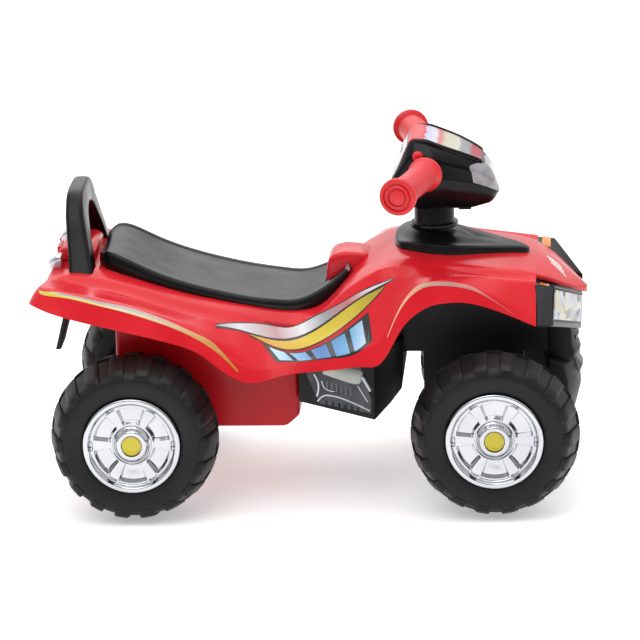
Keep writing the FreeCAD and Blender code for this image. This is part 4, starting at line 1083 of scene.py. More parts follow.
@dataclass
class Wheel:
    """Tyre, plated cover and cap of one wheel."""

    end: End
    side: Side
    x: float
    middle: float
    width: float
    radius: float = 93.0
    tread: float = 90.3
    shoulder: float = 36.0
    crest: float = 2.0
    # Tyre from its bore over the tread: radius, and depth below its inner or outer plane.
    inner: tuple[Spot, ...] = ((5.06, 6), (20, 6), (22, 14), (54, 14), (59, 3), (73, 0), (80.2, 4), (83.5, 14))
    outer: tuple[Spot, ...] = ((83.5, 14), (80.2, 4), (73, 0), (57, 2), (53.8, 5), (53.8, 16), (19, 16), (19, 26),
                               (5.06, 26))
    tyre_radii: tuple[float, ...] = (0, 1, 1, 2, 5, 6, 4, 8, 6, 6, 8, 4, 6, 4, 1, 1, 1, 1, 0)
    tyre_steps: int = 120
    tyre_crease: float = 35.0
    lugs: int = 18
    lug_angle: float = 5.4
    lug_round: float = 0.7
    # Relief of the plated face: start and end radius, and height.
    face_depth: float = 6.5
    slope: Place = (22.0, 44.0, 2.0)
    lip: Place = (45.0, 49.0, 4.5)
    boss: Place = (15.5, 20.0, 5.5)
    cap_seat: Place = (10.8, 11.8, 2.5)
    # Cuts in it: radii where it starts and ends, angles of its flank in degrees, and depth.
    windows: int = 6
    window: Cut = ((23.5, 26.0), (40.5, 43.0), (17.5, 22.0), 7.2)
    notch: Cut = ((43.0, 44.0), (47.5, 48.5), (4.5, 6.5), 2.6)
    # Groove round it: radius, width and depth.
    groove: Place = (21.0, 0.8, 0.8)
    face_radii: Spot = (2.0, 51.6)
    face_rings: int = 62
    face_steps: int = 180
    face_back: tuple[Spot, ...] = ((53.0, -0.3), (53.5, -1.2), (53.5, -16), (50.5, -16), (50.5, -14), (2, -14))
    cap_profile: tuple[Spot, ...] = ((0.05, -3.4), (10.6, -3.4), (10.6, -1.2), (9.2, -0.3), (8.0, -0.9), (4, -0.7),
                                     (0.05, -0.4))
    cap_steps: int = 64

    @property
    def name(self) -> str:
        """End and hand, as in the node names."""
        return f"{self.end.value}_{self.side.word}"

    @property
    def home(self) -> Matrix:
        """Move from the axle's own frame, outer face towards +Y, to the bike."""
        spin = Matrix.Rotation(0 if self.side is Side.LEFT else math.pi, 4, "Z")
        return at(self.x, self.side.value * self.middle, self.radius) @ spin

    def build(self, copies: Copies) -> None:
        """Make and seat the three pieces.

        Args:
            copies: Tree that repeats the lugs.
        """
        body = f"wheel_{self.name}"
        tyre = joined(self.carcass(), [self.lug_row(copies, hand) for hand in (1, -1)])
        shade(tyre.data, self.tyre_crease)
        seat_on(moved(tyre, self.home), body, "tyre_plastic", f"tyre_{self.name}")
        seat_on(moved(self.cover(), self.home), body, "plated_plastic", f"wheel_cover_{self.name}")
        seat_on(moved(self.cap(), self.home), body, "yellow_plastic", f"wheel_cap_{self.name}")

    def carcass(self) -> Piece:
        """Tyre without its lugs.

        Returns:
            The turned tyre.
        """
        half = self.width / 2
        crest = max(half - self.shoulder, self.crest)
        corners = [(radius, depth - half) for radius, depth in self.inner]
        corners += [(self.tread, -crest), (self.tread, crest)]
        corners += [(radius, half - depth) for radius, depth in self.outer]
        spots = rounded([(radius, y, 0) for radius, y in corners], self.tyre_radii, 4)
        points, faces = turned([(spot.x, spot.y) for spot in spots], self.tyre_steps)
        return mesh_piece(f"tyre_{self.name}_moulded", points, faces, TYRE_PE)

    def lug_row(self, copies: Copies, hand: int) -> Piece:
        """Shoulder lugs of one side of the tread.

        Args:
            copies: Tree that repeats them.
            hand: 1 for the outer side of the wheel, -1 for the inner one.

        Returns:
            All lugs of the row.
        """
        half = self.width / 2
        outline = [(half - 2.2, 74), (half - 0.3, 76.2), (half - 1.6, 81.4), (half - 5, 84.2), (half - 12, 86.2),
                   (half - 24, 89.4), (2.5, 93.0), (2.5, 87), (half - 24, 84), (half - 12, 80.5), (half - 6, 78),
                   (half - 6, 74)]
        spread = math.radians(self.lug_angle)
        rows = []
        for share in (-1.0, -0.8, -0.3, 0.3, 0.8, 1.0):
            trim = self.lug_round if abs(share) == 1.0 else 0.0
            rows.append([((r - trim) * math.cos(spread * share), hand * (y - trim),
                          (r - trim) * math.sin(spread * share)) for y, r in outline])
        lug = mesh_piece(f"lugs_{self.name}_{hand}", *capped(rows), TYRE_PE)
        turn = math.tau / self.lugs
        return copies.repeat(lug, self.lugs, TYRE_PE, turn=turn, start=0.0 if hand > 0 else turn / 2)

    def cover_height(self, radius: float, angle: float) -> float:
        """Height of the plated face below the wheel's outer plane.

        Args:
            radius: Distance from the axle.
            angle: Angle round it.

        Returns:
            Depth in millimetres, negative inwards.
        """
        height = sum(rise * eased(start, end, radius) for start, end, rise in (self.slope, self.lip)) - self.face_depth
        for (start, end, rise), way in ((self.boss, 1), (self.cap_seat, -1)):
            height += way * rise * (1 - eased(start, end, radius))
        step = math.tau / self.windows
        off = abs(angle % step - step / 2)
        height -= self.cut_depth(self.window, radius, off) + self.cut_depth(self.notch, radius, abs(off - step / 2))
        middle, width, depth = self.groove
        return height - depth * math.exp(-((radius - middle) / width) ** 2)

    @staticmethod
    def cut_depth(cut: Cut, radius: float, off: float) -> float:
        """Depth of one cut in the plated face.

        Args:
            cut: Form of the cut.
            radius: Distance from the axle.
            off: Angle from the cut's middle.

        Returns:
            Depth in millimetres.
        """
        start, end, flank, depth = cut
        within = eased(*start, radius) * (1 - eased(*end, radius))
        return depth * within * (1 - eased(*flank, math.degrees(off)))

    def cover(self) -> Piece:
        """Plated cover with wedge windows between its spokes.

        Returns:
            The closed cover.
        """
        half = self.width / 2
        start, end = self.face_radii
        radii = [start + (end - start) * step / self.face_rings for step in range(self.face_rings + 1)]
        rows = []
        for step in range(self.face_steps + 1):
            angle = math.tau * (step % self.face_steps) / self.face_steps
            row = [(radius, half + self.cover_height(radius, angle)) for radius in radii]
            row += [(radius, half + depth) for radius, depth in self.face_back]
            rows.append([(r * math.cos(angle), y, r * math.sin(angle)) for r, y in row])
        points, faces = loft(rows, closed=True)
        return mesh_piece(f"wheel_cover_{self.name}_plated", points, faces, PLATED, crease=50)

    def cap(self) -> Piece:
        """Plain yellow cap with a raised ring.

        Returns:
            The turned cap.
        """
        profile = [(radius, self.width / 2 + depth) for radius, depth in self.cap_profile]
        points, faces = turned(profile, self.cap_steps)
        return mesh_piece(f"wheel_cap_{self.name}_domed", points, faces, YELLOW)


@dataclass
class HandlebarPod:
    """Boat-shaped pod on the steering post, with its panels and its front lens."""

    column: float = 136.0
    start: float = -46.0
    length: float = 119.0
    stations: int = 48
    radii: tuple[float, ...] = (0, 14, 14, 0.4, 0.4, 5, 5, 40)
    round_steps: int = 5
    shoulder: float = 0.62
    top_share: float = 0.74
    above: float = 420.0
    # Place along the pod where each begins, and length from there.
    panel_span: Spot = (-26.5, 80.0)
    rim_span: Spot = (-19.0, 72.0)
    panel_share: float = 0.7
    panel_lift: float = 0.5
    rim_radius: float = 3.2
    rim_height: float = 396.6
    front: float = 54.0
    front_share: float = 0.72
    front_radius: float = 1.6
    dash_heights: Spot = (357.0, 391.0)
    dash_pitch: float = 3.6
    lens_lift: float = 0.6
    lens_end: float = 72.3
    lens_sample: float = 60.0
    # Rear edge of the lens: share from the middle to a side, and place along the pod.
    lens_start: tuple[Spot, ...] = ((0.0, 55.5), (0.4, 53.5), (0.62, 41.5), (0.8, 43.5), (1.0, 48.5))
    top: LongLine = LongLine((
        (-46, 40, 353), (-34, 46, 378), (-23, 50, 398), (-18, 51, 399.6), (6, 55.5, 393), (24, 53, 386), (44, 44, 377),
        (54, 37.5, 371), (64, 30, 360), (70.5, 22, 346), (73, 17, 337)))
    bottom: LongLine = LongLine((
        (-46, 40, 351), (-40, 44, 340), (-34, 47, 330), (-22, 50, 317.2), (0, 54, 315.9), (25, 50, 315.9),
        (45, 44, 315.9), (57, 35, 318.5), (69, 23, 325.5), (73, 17, 333)))
    seam: LongLine = LongLine((
        (-46, 0, 352), (-20, 0, 358), (1, 0, 358), (26, 0, 355), (49, 0, 348), (64, 0, 340), (73, 0, 334)))

    def section(self, along: float) -> list[Vector]:
        """Rounded ring of the pod.

        Args:
            along: Place along it, from the column.

        Returns:
            Points of the ring from the middle of the floor, the first one again at its end.
        """
        x = self.column + along
        high, low, half = self.top.height(along), self.bottom.height(along), self.top.half(along)
        high = max(high, low + 1)
        seam = min(max(self.seam.height(along), low + 0.4), high - 0.6)
        band = seam + self.shoulder * (high - seam)
        left = [(x, half * share, z) for share, z in (
            (0.0, low), (0.6, low + 0.6), (0.93, low + 0.55 * (seam - low)), (1.0, seam - 0.3), (0.965, seam + 0.3),
            (0.95, band), (self.top_share, high), (0.0, high))]
        corners = left + [(px, -py, pz) for px, py, pz in reversed(left[1:-1])] + [left[0]]
        return rounded(corners, self.radii + self.radii[-2::-1], self.round_steps)

    def build(self, tubes: Tubes) -> None:
        """Make and seat the pod's pieces.

        Args:
            tubes: Tree for the rim of the top panel.
        """
        turns = [math.pi * step / self.stations for step in range(self.stations + 1)]
        rows = [self.section(self.start + self.length * (0.5 - 0.5 * math.cos(turn))) for turn in turns]
        points, faces = loft(rows)
        width, count = len(rows[0]), len(points)
        faces += [list(range(width)), list(range(count - width, count))]
        shell = mesh_piece("pod_moulded", points, faces, BLACK_GLOSS, crease=30)
        surface = surface_of(shell)
        seat_on(shell, "steering", "black_plastic", "pod_lower", "pod_upper", "sound_unit")
        self.panel(surface)
        self.rim(tubes)
        self.dash(surface)
        self.lens(surface)

    def panel(self, surface: BVHTree) -> None:
        """Red and silver top panel, laid on the pod.

        Args:
            surface: The pod's outside.
        """
        start, length = self.panel_span
        rows = []
        for along in (start + length * step / 36 for step in range(37)):
            half = self.panel_share * self.top.half(along)
            rows.append([((self.column + along, half * (column / 10 - 1), self.above), (0, 0, -1))
                         for column in range(21)])
        piece = draped("top_panel_laid", rows, surface, DASH_FILM, self.panel_lift)
        seat_on(piece, "steering", "red_plastic", "top_panel")

    def rim(self, tubes: Tubes) -> None:
        """Raised black edge round the top panel.

        Args:
            tubes: Tree that sweeps it.
        """
        start, length = self.rim_span
        for side in Side:
            route = []
            for along in (start + length * step / 24 for step in range(25)):
                height = min(self.top.height(along) - 1.2, self.rim_height)
                route.append((self.column + along, side.value * self.top_share * self.top.half(along), height))
            piece = tubes.along(f"pod_rim_{side.word}", route, self.rim_radius, BLACK_GLOSS)
            seat_on(piece, "steering", "black_plastic")
        half, height = self.front_share * self.top.half(self.front), self.top.height(self.front) - 0.6
        route = [(self.column + self.front, half * (step / 8 - 1), height) for step in range(17)]
        seat_on(tubes.along("pod_rim_front", route, self.front_radius, BLACK_GLOSS), "steering", "black_plastic")

    def dash(self, surface: BVHTree) -> None:
        """Silver dash on the rear slope.

        Args:
            surface: The pod's outside.
        """
        low, high = self.dash_heights
        rows = [[((60, (column - 10) * self.dash_pitch, low + (high - low) * step / 14), (1, 0, 0))
                 for column in range(21)] for step in range(15)]
        piece = draped("dash_laid", rows, surface, SILVER, self.lens_lift)
        seat_on(piece, "steering", "silver_plastic", "dash_panel")

    def lens(self, surface: BVHTree) -> None:
        """Grey front lens that wraps round both cheeks.

        Args:
            surface: The pod's outside.
        """
        sample = self.section(self.lens_sample)
        seam = self.seam.height(self.lens_sample)
        first = next(index for index, spot in enumerate(sample) if spot.z > seam + 0.3)
        last = len(sample) - 1 - first
        start = spline(*zip(*self.lens_start))
        rows = []
        for index in range(first, last + 1):
            begin = start(abs(2 * (index - first) / (last - first) - 1))
            row = []
            for step in range(17):
                spot = self.section(begin + (self.lens_end - begin) * step / 16)[index]
                _, normal, _, _ = surface.find_nearest(spot * MM)
                row.append((tuple(spot + normal * 20), tuple(-normal)))
            rows.append(row)
        piece = draped("pod_lens_laid", rows, surface, SMOKE_LENS, self.lens_lift)
        seat_on(piece, "steering", "grey_lens", "pod_lens")


@dataclass
class Grip:
    """Vinyl grip with an inner collar and rings on its end."""

    side: Side
    apex: Place = (146.0, 0.0, 366.0)
    sweep: float = 14.0
    profile: tuple[Spot, ...] = (
        (9.1, 66), (18.0, 66), (19.0, 67), (19.0, 72.2), (18.3, 73.6), (16.5, 76), (16.0, 80), (15.3, 122),
        (15.9, 167), (16.6, 169.6), (19.4, 170.8), (20.5, 172), (20.5, 176), (19.2, 177.6), (17.0, 178),
        (16.0, 177.6), (15.4, 175.4), (13.8, 175.4), (13.2, 177.6), (12.6, 178), (11.2, 178), (10.7, 177.6),
        (10.2, 175.6), (8.8, 175.6), (8.3, 177.4), (7.2, 177.8), (0.05, 177.9), (0.05, 172.0), (9.1, 172.0))

    def build(self) -> Piece:
        """Turned grip, swung to its sweep.

        Returns:
            The grip.
        """
        points, faces = turned(self.profile, 64)
        piece = mesh_piece(f"grip_{self.side.word}_moulded", points, faces, RED_GRIP, crease=32)
        turn = self.sweep if self.side is Side.LEFT else 180 - self.sweep
        moved(piece, at(*self.apex) @ Matrix.Rotation(math.radians(turn), 4, "Z"))
        return seat_on(piece, "steering", "red_plastic", f"grip_{self.side.word}")


def surface_of(piece: Piece) -> BVHTree:
    """Search tree of a piece's faces.

    Args:
        piece: Piece at the origin.

    Returns:
        The tree, in metres.
    """
    form = bmesh.new()
    form.from_mesh(piece.data)
    tree = BVHTree.FromBMesh(form)
    form.free()
    return tree


# How far a film reaches below the surface that it lies on, in millimetres.
FILM_SINK = 0.2


def draped(name: str, rays: Sequence[Sequence[Ray]], surface: BVHTree, finish: Finish,
           lift_mm: float) -> Piece:
    """Sheet of film laid on a surface.

    Args:
        name: Name of the piece.
        rays: Grid of start points in millimetres with the way that each travels.
        surface: What they land on.
        finish: Surface of the sheet.
        lift_mm: How far the film's face stands off the surface.

    Returns:
        The sheet, closed at its edge.
    """
    spots = []
    for start, way in (ray for row in rays for ray in row):
        hit, normal, _, _ = surface.ray_cast(Vector(start) * MM, Vector(way))
        if hit is None:
            hit, normal, _, _ = surface.find_nearest(Vector(start) * MM)
        spots.append(hit + normal * lift_mm * MM)
    _, faces = loft(rays)
    piece = mesh_piece(name, spots, faces, finish, scale=1.0)
    facing = sum(face.normal.dot(surface.find_nearest(face.center)[1]) for face in piece.data.polygons)
    if facing < 0:
        piece.data.flip_normals()
    return thicken(piece, lift_mm + FILM_SINK)


def flowing(points: Sequence[Spot]) -> Callable[[float], Spot]:
    """Smooth line through points, by the share of the way along it.

    Args:
        points: Points in order.

    Returns:
        Function from 0 to 1 that gives a point.
    """
    knots = [0.0]
    for before, after in zip(points, points[1:]):
        knots.append(knots[-1] + math.dist(before, after))
    first = spline(knots, [point[0] for point in points])
    second = spline(knots, [point[1] for point in points])
    return lambda share: (first(share * knots[-1]), second(share * knots[-1]))


@dataclass
class Graphics:
    """Printed film on both flanks: a spear at the tail, blades and bars at the waist, a line over the front arch."""

    surface: BVHTree
    lift: float = 0.35
    grid: tuple[int, int] = (110, 14)
    far: float = 300.0
    above: float = 330.0
    border: float = 1.2
    spear_top: tuple[Spot, ...] = ((-292.5, 259.4), (-284, 260.1), (-268, 257.4), (-252, 253.6), (-234.6, 249.4),
                                   (-204.2, 242.7), (-171.8, 232.3), (-122.9, 210.1), (-107.1, 200.2),
                                   (-93.1, 186.3), (-76.2, 163.9))
    spear_low: tuple[Spot, ...] = ((-291, 256.6), (-268.4, 254.2), (-233.6, 246.2), (-202.9, 238.4), (-170.6, 227.6),
                                   (-138.3, 214.2), (-101.2, 189.5), (-78.3, 164.2))
    blade_top: tuple[Spot, ...] = ((-102.3, 209.0), (-77.1, 207.3), (-49.9, 203.8), (-22.4, 200.0), (3.7, 210.0),
                                   (33.7, 227.0), (63.1, 244.0), (93.5, 257.0))
    blade_low: tuple[Spot, ...] = ((-102.3, 208.6), (-76.7, 201.7), (-52.7, 194.0), (-24.1, 190.8), (2.5, 199.0),
                                   (33.9, 220.0), (63.2, 240.2), (93.5, 257.1))
    flash_top: tuple[Spot, ...] = ((-66.0, 196.5), (-24.0, 188.6), (2.6, 196.7), (33.9, 217.6), (60.9, 236.5),
                                   (84.0, 249.0))
    flash_low: tuple[Spot, ...] = ((-66.0, 196.1), (-23.6, 181.3), (3.1, 186.3), (34.1, 203.1), (61.0, 224.9),
                                   (84.0, 248.6))
    bars_top: tuple[Spot, ...] = ((-52.5, 187.5), (-21.2, 178.6), (5.4, 183.7), (34.2, 198.3), (66.0, 222.0))
    bars_low: tuple[Spot, ...] = ((-36.5, 169.8), (-9.8, 171.0), (23.5, 174.4), (52.5, 180.3), (70.3, 194.3))
    # Bars between the two lines: number, first share, step, width and inset.
    bar_count: int = 5
    bar_first: float = 0.05
    bar_step: float = 0.185
    bar_width: float = 0.135
    bar_inset: float = 0.1
    # Pale strips on the hood: first corner, way along, pitch across, and shift from each to the next.
    badge_start: Spot = (261.0, -3.0)
    badge_way: Spot = (2.1, -1.4)
    badge_pitch: float = 1.7
    badge_shift: Spot = (2.4, -8.0)
    # Middle line over the arch as x and z, with half its width.
    arch: tuple[Place, ...] = ((87.3, 199.5, 0.9), (95.4, 218.6, 1.3), (105.8, 237.4, 1.8), (115.9, 249.0, 2.1),
                               (130.2, 257.2, 2.2), (143.1, 258.6, 2.2), (154.1, 258.0, 2.1), (172.6, 254.8, 1.8),
                               (184.6, 250.5, 1.5), (195.4, 244.4, 1.1), (229.8, 220.0, 0.4))

    def build(self) -> None:
        """Lay every film on both flanks."""
        upper, lower = flowing(self.spear_top), flowing(self.spear_low)
        shares = [step / 16 for step in range(17)]
        middle = [tuple((a + b) / 2 for a, b in zip(upper(share), lower(share))) for share in shares]
        self.flank("film_spear_upper", [upper(share) for share in shares], middle, SPEAR_GREY, "silver_plastic", 0)
        self.flank("film_spear_lower", middle, [lower(share) for share in shares], SPEAR_GOLD, "silver_plastic", 0)
        for name, top, low, finish, slot in (
                ("film_blade", self.blade_top, self.blade_low, STEEL_FILM, "silver_plastic"),
                ("film_flash", self.flash_top, self.flash_low, SWOOSH_FILM, "yellow_plastic")):
            edge_top = [(x, z + self.border) for x, z in top]
            edge_low = [(x, z - self.border) for x, z in low]
            self.flank(f"{name}_edge", edge_top, edge_low, BLACK_FILM, "black_plastic", 0)
            self.flank(name, top, low, finish, slot, 1)
        self.flank("film_bars_edge", self.bars_top, self.bars_low, BLACK_FILM, "black_plastic", 0)
        self.bars()
        top, low = ([(x, z + way * half) for x, z, half in self.arch] for way in (1, -1))
        self.flank("film_arch", top, low, PALE_FILM, "silver_plastic", 0)
        self.badge()

    def flank(self, name: str, top: Sequence[Spot], low: Sequence[Spot], finish: Finish, slot: str, layer: int) -> None:
        """Band between two lines, on the left and the right.

        Args:
            name: Name of the film.
            top: Upper line as x and z.
            low: Lower line as x and z.
            finish: Printed finish.
            slot: Material slot of the record.
            layer: How many films lie under this one.
        """
        pieces = []
        upper, lower = flowing(top), flowing(low)
        steps, across = self.grid
        for side in Side:
            rows = []
            for step in range(steps + 1):
                (x0, z0), (x1, z1) = upper(step / steps), lower(step / steps)
                rows.append([((x0 + (x1 - x0) * share / across, self.far * side.value, z0 + (z1 - z0) * share / across),
                              (0, -side.value, 0)) for share in range(across + 1)])
            pieces.append(draped(f"{name}_{side.word}", rows, self.surface, finish, self.lift * (layer + 1)))
        seat_on(joined(pieces[0], pieces[1:]), "chassis", slot)

    def bars(self) -> None:
        """Slanted speed bars on the black band."""
        upper, lower = flowing(self.bars_top), flowing(self.bars_low)
        for number in range(self.bar_count):
            start = self.bar_first + self.bar_step * number
            spots = [(upper(share), lower(share)) for share in (start + self.bar_width * step / 4 for step in range(5))]
            top, low = ([(x0 + (x1 - x0) * part, z0 + (z1 - z0) * part) for (x0, z0), (x1, z1) in spots]
                        for part in (self.bar_inset, 1 - self.bar_inset))
            self.flank(f"film_bar_{number}", top, low, BLUE_FILM, "silver_plastic", 1)

    def badge(self) -> None:
        """Three plain pale strips on the hood's near front."""
        for number in range(3):
            x, y = (start + number * shift for start, shift in zip(self.badge_start, self.badge_shift))
            ahead, aside = self.badge_way
            rows = [[((x + ahead * step, y + aside * step + self.badge_pitch * column, self.above), (0, 0, -1))
                     for column in range(4)] for step in range(9)]
            piece = draped(f"film_badge_{number}", rows, self.surface, BADGE_FILM, self.lift)
            seat_on(piece, "chassis", "silver_plastic")


@dataclass
class Headlight:
    """Lamp housing on a front corner: charcoal cheek, faceted lens, grey chin and an amber marker on top."""

    side: Side
    top: tuple[Place, ...] = ((249, 108, 250.5), (269.5, 104, 249.5), (301.5, 38, 223.5), (246, 38, 244))
    low: tuple[Place, ...] = ((250.4, 128.5, 208), (267, 120.5, 206), (299.5, 38, 181), (258, 38, 186))
    housing_round: float = 1.6
    plate_round: float = 0.6
    sunk: float = 1.5
    # Lens: facets along and up, its shares of the face, heights of border and facets, and wall.
    cells: tuple[int, int] = (7, 5)
    lens_along: Spot = (0.035, 0.92)
    lens_up: Spot = (0.18, 0.88)
    lens_border: float = 1.6
    lens_heights: Spot = (1.9, 3.4)
    lens_wall: float = 2.0
    # Marker on top: rearmost inner corner, pitch forwards and outwards, and lift.
    marker: Spot = (254.5, 84.0)
    marker_pitch: Spot = (1.4, 2.4)
    marker_lift: float = 0.9

    def spot(self, first: int, along: float, up: float, proud: float = 0.0) -> Vector:
        """Point on one upright face.

        Args:
            first: Number of the face's first corner.
            along: Share from the first corner to the next.
            up: Share from the lower edge to the upper one.
            proud: Distance outwards from the face.

        Returns:
            The point on this side of the bike.
        """
        ends = [Vector(self.low[first + step]).lerp(Vector(self.top[first + step]), up) for step in (0, 1)]
        run = ends[1] - ends[0]
        point = ends[0].lerp(ends[1], along) + Vector((-run.y, run.x, 0)).normalized() * proud
        return Vector((point.x, self.side.value * point.y, point.z))

    def plate(self, name: str, first: int, along: Spot, up: Spot, proud: float, finish: Finish) -> Piece:
        """Rounded plate on one face.

        Args:
            name: Name of the piece.
            first: Number of the face's first corner.
            along: Shares along the face where it starts and ends.
            up: Shares up the face where it starts and ends.
            proud: Distance that it stands out.
            finish: Surface.

        Returns:
            The closed plate.
        """
        places = ((along[0], up[0]), (along[1], up[0]), (along[1], up[1]), (along[0], up[1]))
        corners = [self.spot(first, a, u, -self.sunk) for a, u in places]
        way = self.spot(first, 0.5, 0.5, proud) - self.spot(first, 0.5, 0.5, -self.sunk)
        plate = prism(f"{name}_{self.side.word}", corners, [corner + way for corner in corners], finish)
        return bevelled(plate, self.plate_round)

    def lens(self) -> Piece:
        """Clear lens whose flat facets stand at different heights.

        Returns:
            The walled lens.
        """
        across, up = self.cells
        (left, right), (low, high), (least, most) = self.lens_along, self.lens_up, self.lens_heights
        rows = []
        for row in range(up + 1):
            heights = [least + (most - least) * ((column * 5 + row * 3) % 4) / 3
                       if 0 < column < across and 0 < row < up else self.lens_border for column in range(across + 1)]
            rows.append([self.spot(1, left + (right - left) * column / across, low + (high - low) * row / up, height)
                         for column, height in enumerate(heights)])
        points, faces = loft(rows)
        piece = mesh_piece(f"headlight_lens_{self.side.word}_faceted", points, faces, LAMP_LENS, crease=3)
        if sum(face.normal.x for face in piece.data.polygons) < 0:
            piece.data.flip_normals()
        return thicken(piece, self.lens_wall)

    def build(self) -> None:
        """Make and seat the housing with its plates, the lens and the marker."""
        hand = self.side.value
        points = [(x, hand * y, z) for x, y, z in self.low + self.top]
        faces = [(0, 1, 2, 3), (4, 5, 6, 7), (0, 1, 5, 4), (1, 2, 6, 5), (2, 3, 7, 6), (3, 0, 4, 7)]
        word = self.side.word
        housing = bevelled(mesh_piece(f"headlight_housing_{word}", points, faces, BLACK_GLOSS), self.housing_round)
        surface = surface_of(housing)
        joined(housing, [
            self.plate("lamp_cheek", 0, (0.06, 0.97), (0.04, 0.96), 0.7, CHARCOAL),
            self.plate("lamp_chin", 1, (0.03, 0.95), (0.015, 0.13), 1.2, GREY),
            self.plate("lamp_brow", 1, (0.03, 0.93), (0.925, 0.965), 0.7, GREY)])
        seat_on(housing, "chassis", "black_plastic", f"headlight_bezel_{word}")
        seat_on(self.lens(), "chassis", "silver_plastic", f"headlight_lens_{word}")
        (x, y), (ahead, out) = self.marker, self.marker_pitch
        rows = [[((x + ahead * step, hand * (y + out * column), 300), (0, 0, -1)) for column in range(10)]
                for step in range(8)]
        seat_on(draped(f"side_marker_{word}", rows, surface, AMBER, self.marker_lift), "chassis", "yellow_plastic")


@dataclass
class FrontGuard:
    """Black guard below the hood: an upright with slats, a wider foot and a grey pad between them."""

    bow: float = 0.0055
    bow_from: float = 270.0
    steps: int = 16
    upright_half: float = 36.5
    foot_half: float = 51.0
    pad_half: float = 17.0
    slat_half: float = 25.0
    black_round: float = 1.2
    trim_round: float = 0.8
    slats: int = 4
    slat_step: Place = (-0.2, 0, 11)
    upright: tuple[Spot, ...] = ((262, 228), (297, 224), (294.5, 184), (295.5, 160), (298.5, 152), (297.5, 148),
                                 (292, 143), (262, 140))
    foot: tuple[Spot, ...] = ((262, 150), (284, 147), (293, 141), (297.5, 124), (298.5, 111), (296.5, 102), (292, 84.5),
                              (262, 84.5))
    pad: tuple[Spot, ...] = ((280, 141), (293.2, 143.6), (301, 134), (301, 131), (297.5, 123), (280, 123))
    slat: tuple[Spot, ...] = ((284, 164), (296.4, 165), (296.4, 169), (284, 170))

    def across(self, name: str, profile: Sequence[Spot], half: float, finish: Finish,
               round_mm: float) -> Piece:
        """Side profile carried across the bike, bowed back towards both ends.

        Args:
            name: Name of the piece.
            profile: Closed outline as x and z.
            half: Half the width.
            finish: Surface.
            round_mm: Width of the rounding.

        Returns:
            The closed piece.
        """
        rows = []
        for step in range(self.steps + 1):
            y = half * (2 * step / self.steps - 1)
            rows.append([(x - (self.bow * y * y if x > self.bow_from else 0.0), y, z) for x, z in profile])
        return bevelled(mesh_piece(name, *capped(rows), finish), round_mm)

    def build(self, copies: Copies) -> Piece:
        """Guard as one piece.

        Args:
            copies: Tree that repeats the slats.

        Returns:
            The guard.
        """
        base = self.across("front_guard", self.upright, self.upright_half, BLACK_GRAIN, self.black_round)
        slat = self.across("guard_slats", self.slat, self.slat_half, BLACK_GLOSS, self.trim_round)
        slats = copies.repeat(slat, self.slats, BLACK_GLOSS, self.slat_step)
        joined(base, [self.across("guard_foot", self.foot, self.foot_half, BLACK_GRAIN, self.black_round),
                      self.across("guard_pad", self.pad, self.pad_half, GREY, self.trim_round), slats])
        return seat_on(base, "chassis", "black_plastic", "bumper")


@dataclass
class Backrest:
    """Arch of two tapered legs that leans back."""

    outer: tuple[Spot, ...] = ((92, 258), (85, 272), (78, 286), (71.5, 299), (66, 311), (59.5, 323.5), (51, 335.5),
                               (35, 344), (0, 346.5))
    inner: tuple[Spot, ...] = ((65, 258), (58, 270), (51.5, 281), (45, 291.5), (38, 301), (30, 310.5), (21, 317.5),
                               (11, 321), (0, 322))

    # Heights between which it leans, X of its front and rear at both, and lean of the crest above.
    lean: Spot = (253.0, 321.0)
    front: Spot = (-236.5, -250.0)
    rear: Spot = (-266.0, -272.0)
    crest_lean: float = 0.12
    front_step: float = 1.5
    corner: float = 5.5
    steps: int = 112

    def faces_at(self, z: float) -> Spot:
        """Front and rear of the arch.

        Args:
            z: Height.

        Returns:
            X of the front and of the rear.
        """
        share = share_of(*self.lean, z)
        front, rear = (low + (high - low) * share for low, high in (self.front, self.rear))
        return front - max(0.0, z - self.lean[1]) * self.crest_lean, rear

    def build(self) -> Piece:
        """Loft along the arch from one foot to the other.

        Returns:
            The arch.
        """
        lines = []
        for points in (self.outer, self.inner):
            whole = list(points) + [(-y, z) for y, z in reversed(points[:-1])]
            numbers = list(range(len(whole)))
            lines.append((spline(numbers, [y for y, _ in whole]), spline(numbers, [z for _, z in whole])))
        rows = []
        for step in range(self.steps + 1):
            place = 2 * (len(self.outer) - 1) * step / self.steps
            (yo, zo), (yi, zi) = ((across(place), up(place)) for across, up in lines)
            (fo, ro), (fi, ri) = self.faces_at(zo), self.faces_at(zi)
            corners = [(fo - self.front_step, yo, zo), (ro, yo, zo), (ri, yi, zi), (fi, yi, zi)]
            rows.append(ring(corners, self.corner, 5))
        piece = mesh_piece("backrest_arch", *capped(rows), SEAT_BLACK, crease=60)
        return seat_on(piece, "chassis", "black_plastic", "backrest")


